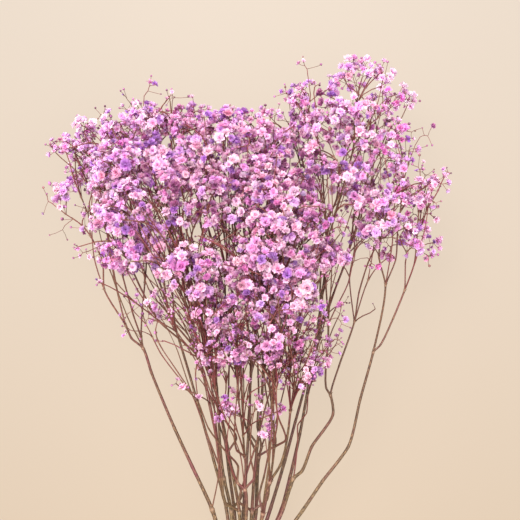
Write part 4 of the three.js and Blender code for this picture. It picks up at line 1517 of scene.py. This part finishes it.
def paper_material():
    """The table: warm pale paper with a painted pool of light, lighter towards the top of the picture,
    painted shade to each side, and a painted glow.
    """
    s = new_shader("paper")
    up = s.far(s.axis("Y"), *PAPER_ENDS)
    # Painted light: a pool of light up the picture, with painted shade to each side
    seen = s.ramp(up, (0.0, PAPER_LOW), (0.5, PAPER_MIDDLE), (1.0, PAPER_HIGH), ease="B_SPLINE")
    out = s.far(s.maths("ABSOLUTE", s.axis("X")), *PAPER_SIDES)
    seen = s.tint(seen, s.ramp(out, (0.0, 1.0), (1.0, PAPER_SIDE_SHADE), ease="EASE"))
    # The glow is painted light that keeps the shadow on the paper faint
    plain = {"Specular IOR Level": 0.0, "Emission Strength": PAPER_GLOW}
    return s.finish(s.tint(seen, PAPER_SHARE), 0.95, glow=seen, **plain)


rng = np.random.default_rng(SEED)
large_shapes = [floret_shape(rng, rng.uniform(0.85, 1.15), LARGE_RINGS) for _ in range(SHAPES)]
small_shapes = [floret_shape(rng, rng.uniform(0.8, 1.15), SMALL_RINGS) for _ in range(SHAPES)]
shut_shapes = [floret_shape(rng, rng.uniform(0.35, 0.6), SMALL_RINGS) for _ in range(SHAPES)]

# Each spray's pieces: how their names start, the values at their points, what fills them, their material
KINDS = (
    ("stems_", {"grain": 3, "knotty": 1, "stain": 1, "fine": 1}, add_wood, wood_material()),
    ("florets_", {"dye": 3, "reach": 1}, add_florets, petal_material()),
    ("buds_", {"dye": 3, "reach": 1}, add_buds, bud_material()),
)
grown = [(root, spray[0], number) for number, (root, spray) in enumerate(zip(grow_bunch(), SPRAYS))]
for step in (add_runners, add_side_twigs):
    for root, name, number in grown:
        step(root, name, number, rng)
for root, name, number in grown:
    dress(root, FULLNESS[name][0], number, rng)
for root, name, _ in grown:
    for kind, widths, fill, material in KINDS:
        skin = Skin(**widths)
        fill(skin, root, rng)
        skin.piece(kind + name, material, "dyed_spray", name)

outer_stems = [(*seat_in_band(ring, seat), thickness(root.next[0]))
               for (root, *_), (_, ring, seat, _) in zip(grown, SPRAYS) if ring == OUTER_RING]
strand = Skin(dust=1)
add_band(strand, outer_stems)
strand.piece("rubber_band_strand", rubber_material(), "rubber_band", "rubber_band")

# The table, which throws no light of its own on the bunch
bpy.ops.mesh.primitive_plane_add(size=8)
floor = bpy.context.object
floor.name = "table"
floor.data.materials.append(paper_material())
floor.visible_diffuse = False

# The room is bright overhead and dimmer all round: from straight below to straight above, the
# position, the strength and the colour of its light
ROOM = (
    (0.0, 0.7, (255, 214, 240)),
    (0.45, 0.18, (255, 232, 244)),
    (0.6, 0.4, (255, 250, 248)),
    (1.0, 1.85, (255, 250, 248)),
)
world = bpy.data.worlds.new("studio")
bpy.context.scene.world = world
room = Shader(world, "Generated")
light = [(position, linear(colour) * strength) for position, strength, colour in ROOM]
background = room.node("Background", Strength=1.0)
room.join(room.ramp(room.far(room.axis("Z"), -1, 1), *light), background.inputs["Color"])
room.join(background.outputs[0], room.node("OutputWorld").inputs["Surface"])


def soft_light(name, place, angle, strength):
    """A wide soft lamp so far off that it lights everything alike."""
    data = bpy.data.lights.new(name, "SUN")
    data.angle = angle
    data.energy = strength
    data.color = linear((255, 250, 245))
    lamp = bpy.data.objects.new(name, data)
    lamp.location = place
    lamp.rotation_euler = Vector(place).to_track_quat("Z", "Y").to_euler()
    bpy.context.scene.collection.objects.link(lamp)


soft_light("key", place=(-0.7, 0.9, 2.0), angle=0.6, strength=4.8)
soft_light("fill", place=(1.0, -0.7, 2.0), angle=1.0, strength=1.2)

data = bpy.data.cameras.new("camera")
data.sensor_width = 36
data.lens = data.sensor_width * VIEW_DISTANCE / (PICTURE * PIXEL * 0.001)
camera = bpy.data.objects.new("camera", data)
camera.location = Vector((np.array(VIEW_CENTRE) + shift) * 0.001) + Vector((0, 0, VIEW_DISTANCE))
bpy.context.scene.collection.objects.link(camera)
bpy.context.scene.camera = camera
bpy.context.scene.view_settings.view_transform = "Standard"

bpy.context.view_layer.update()
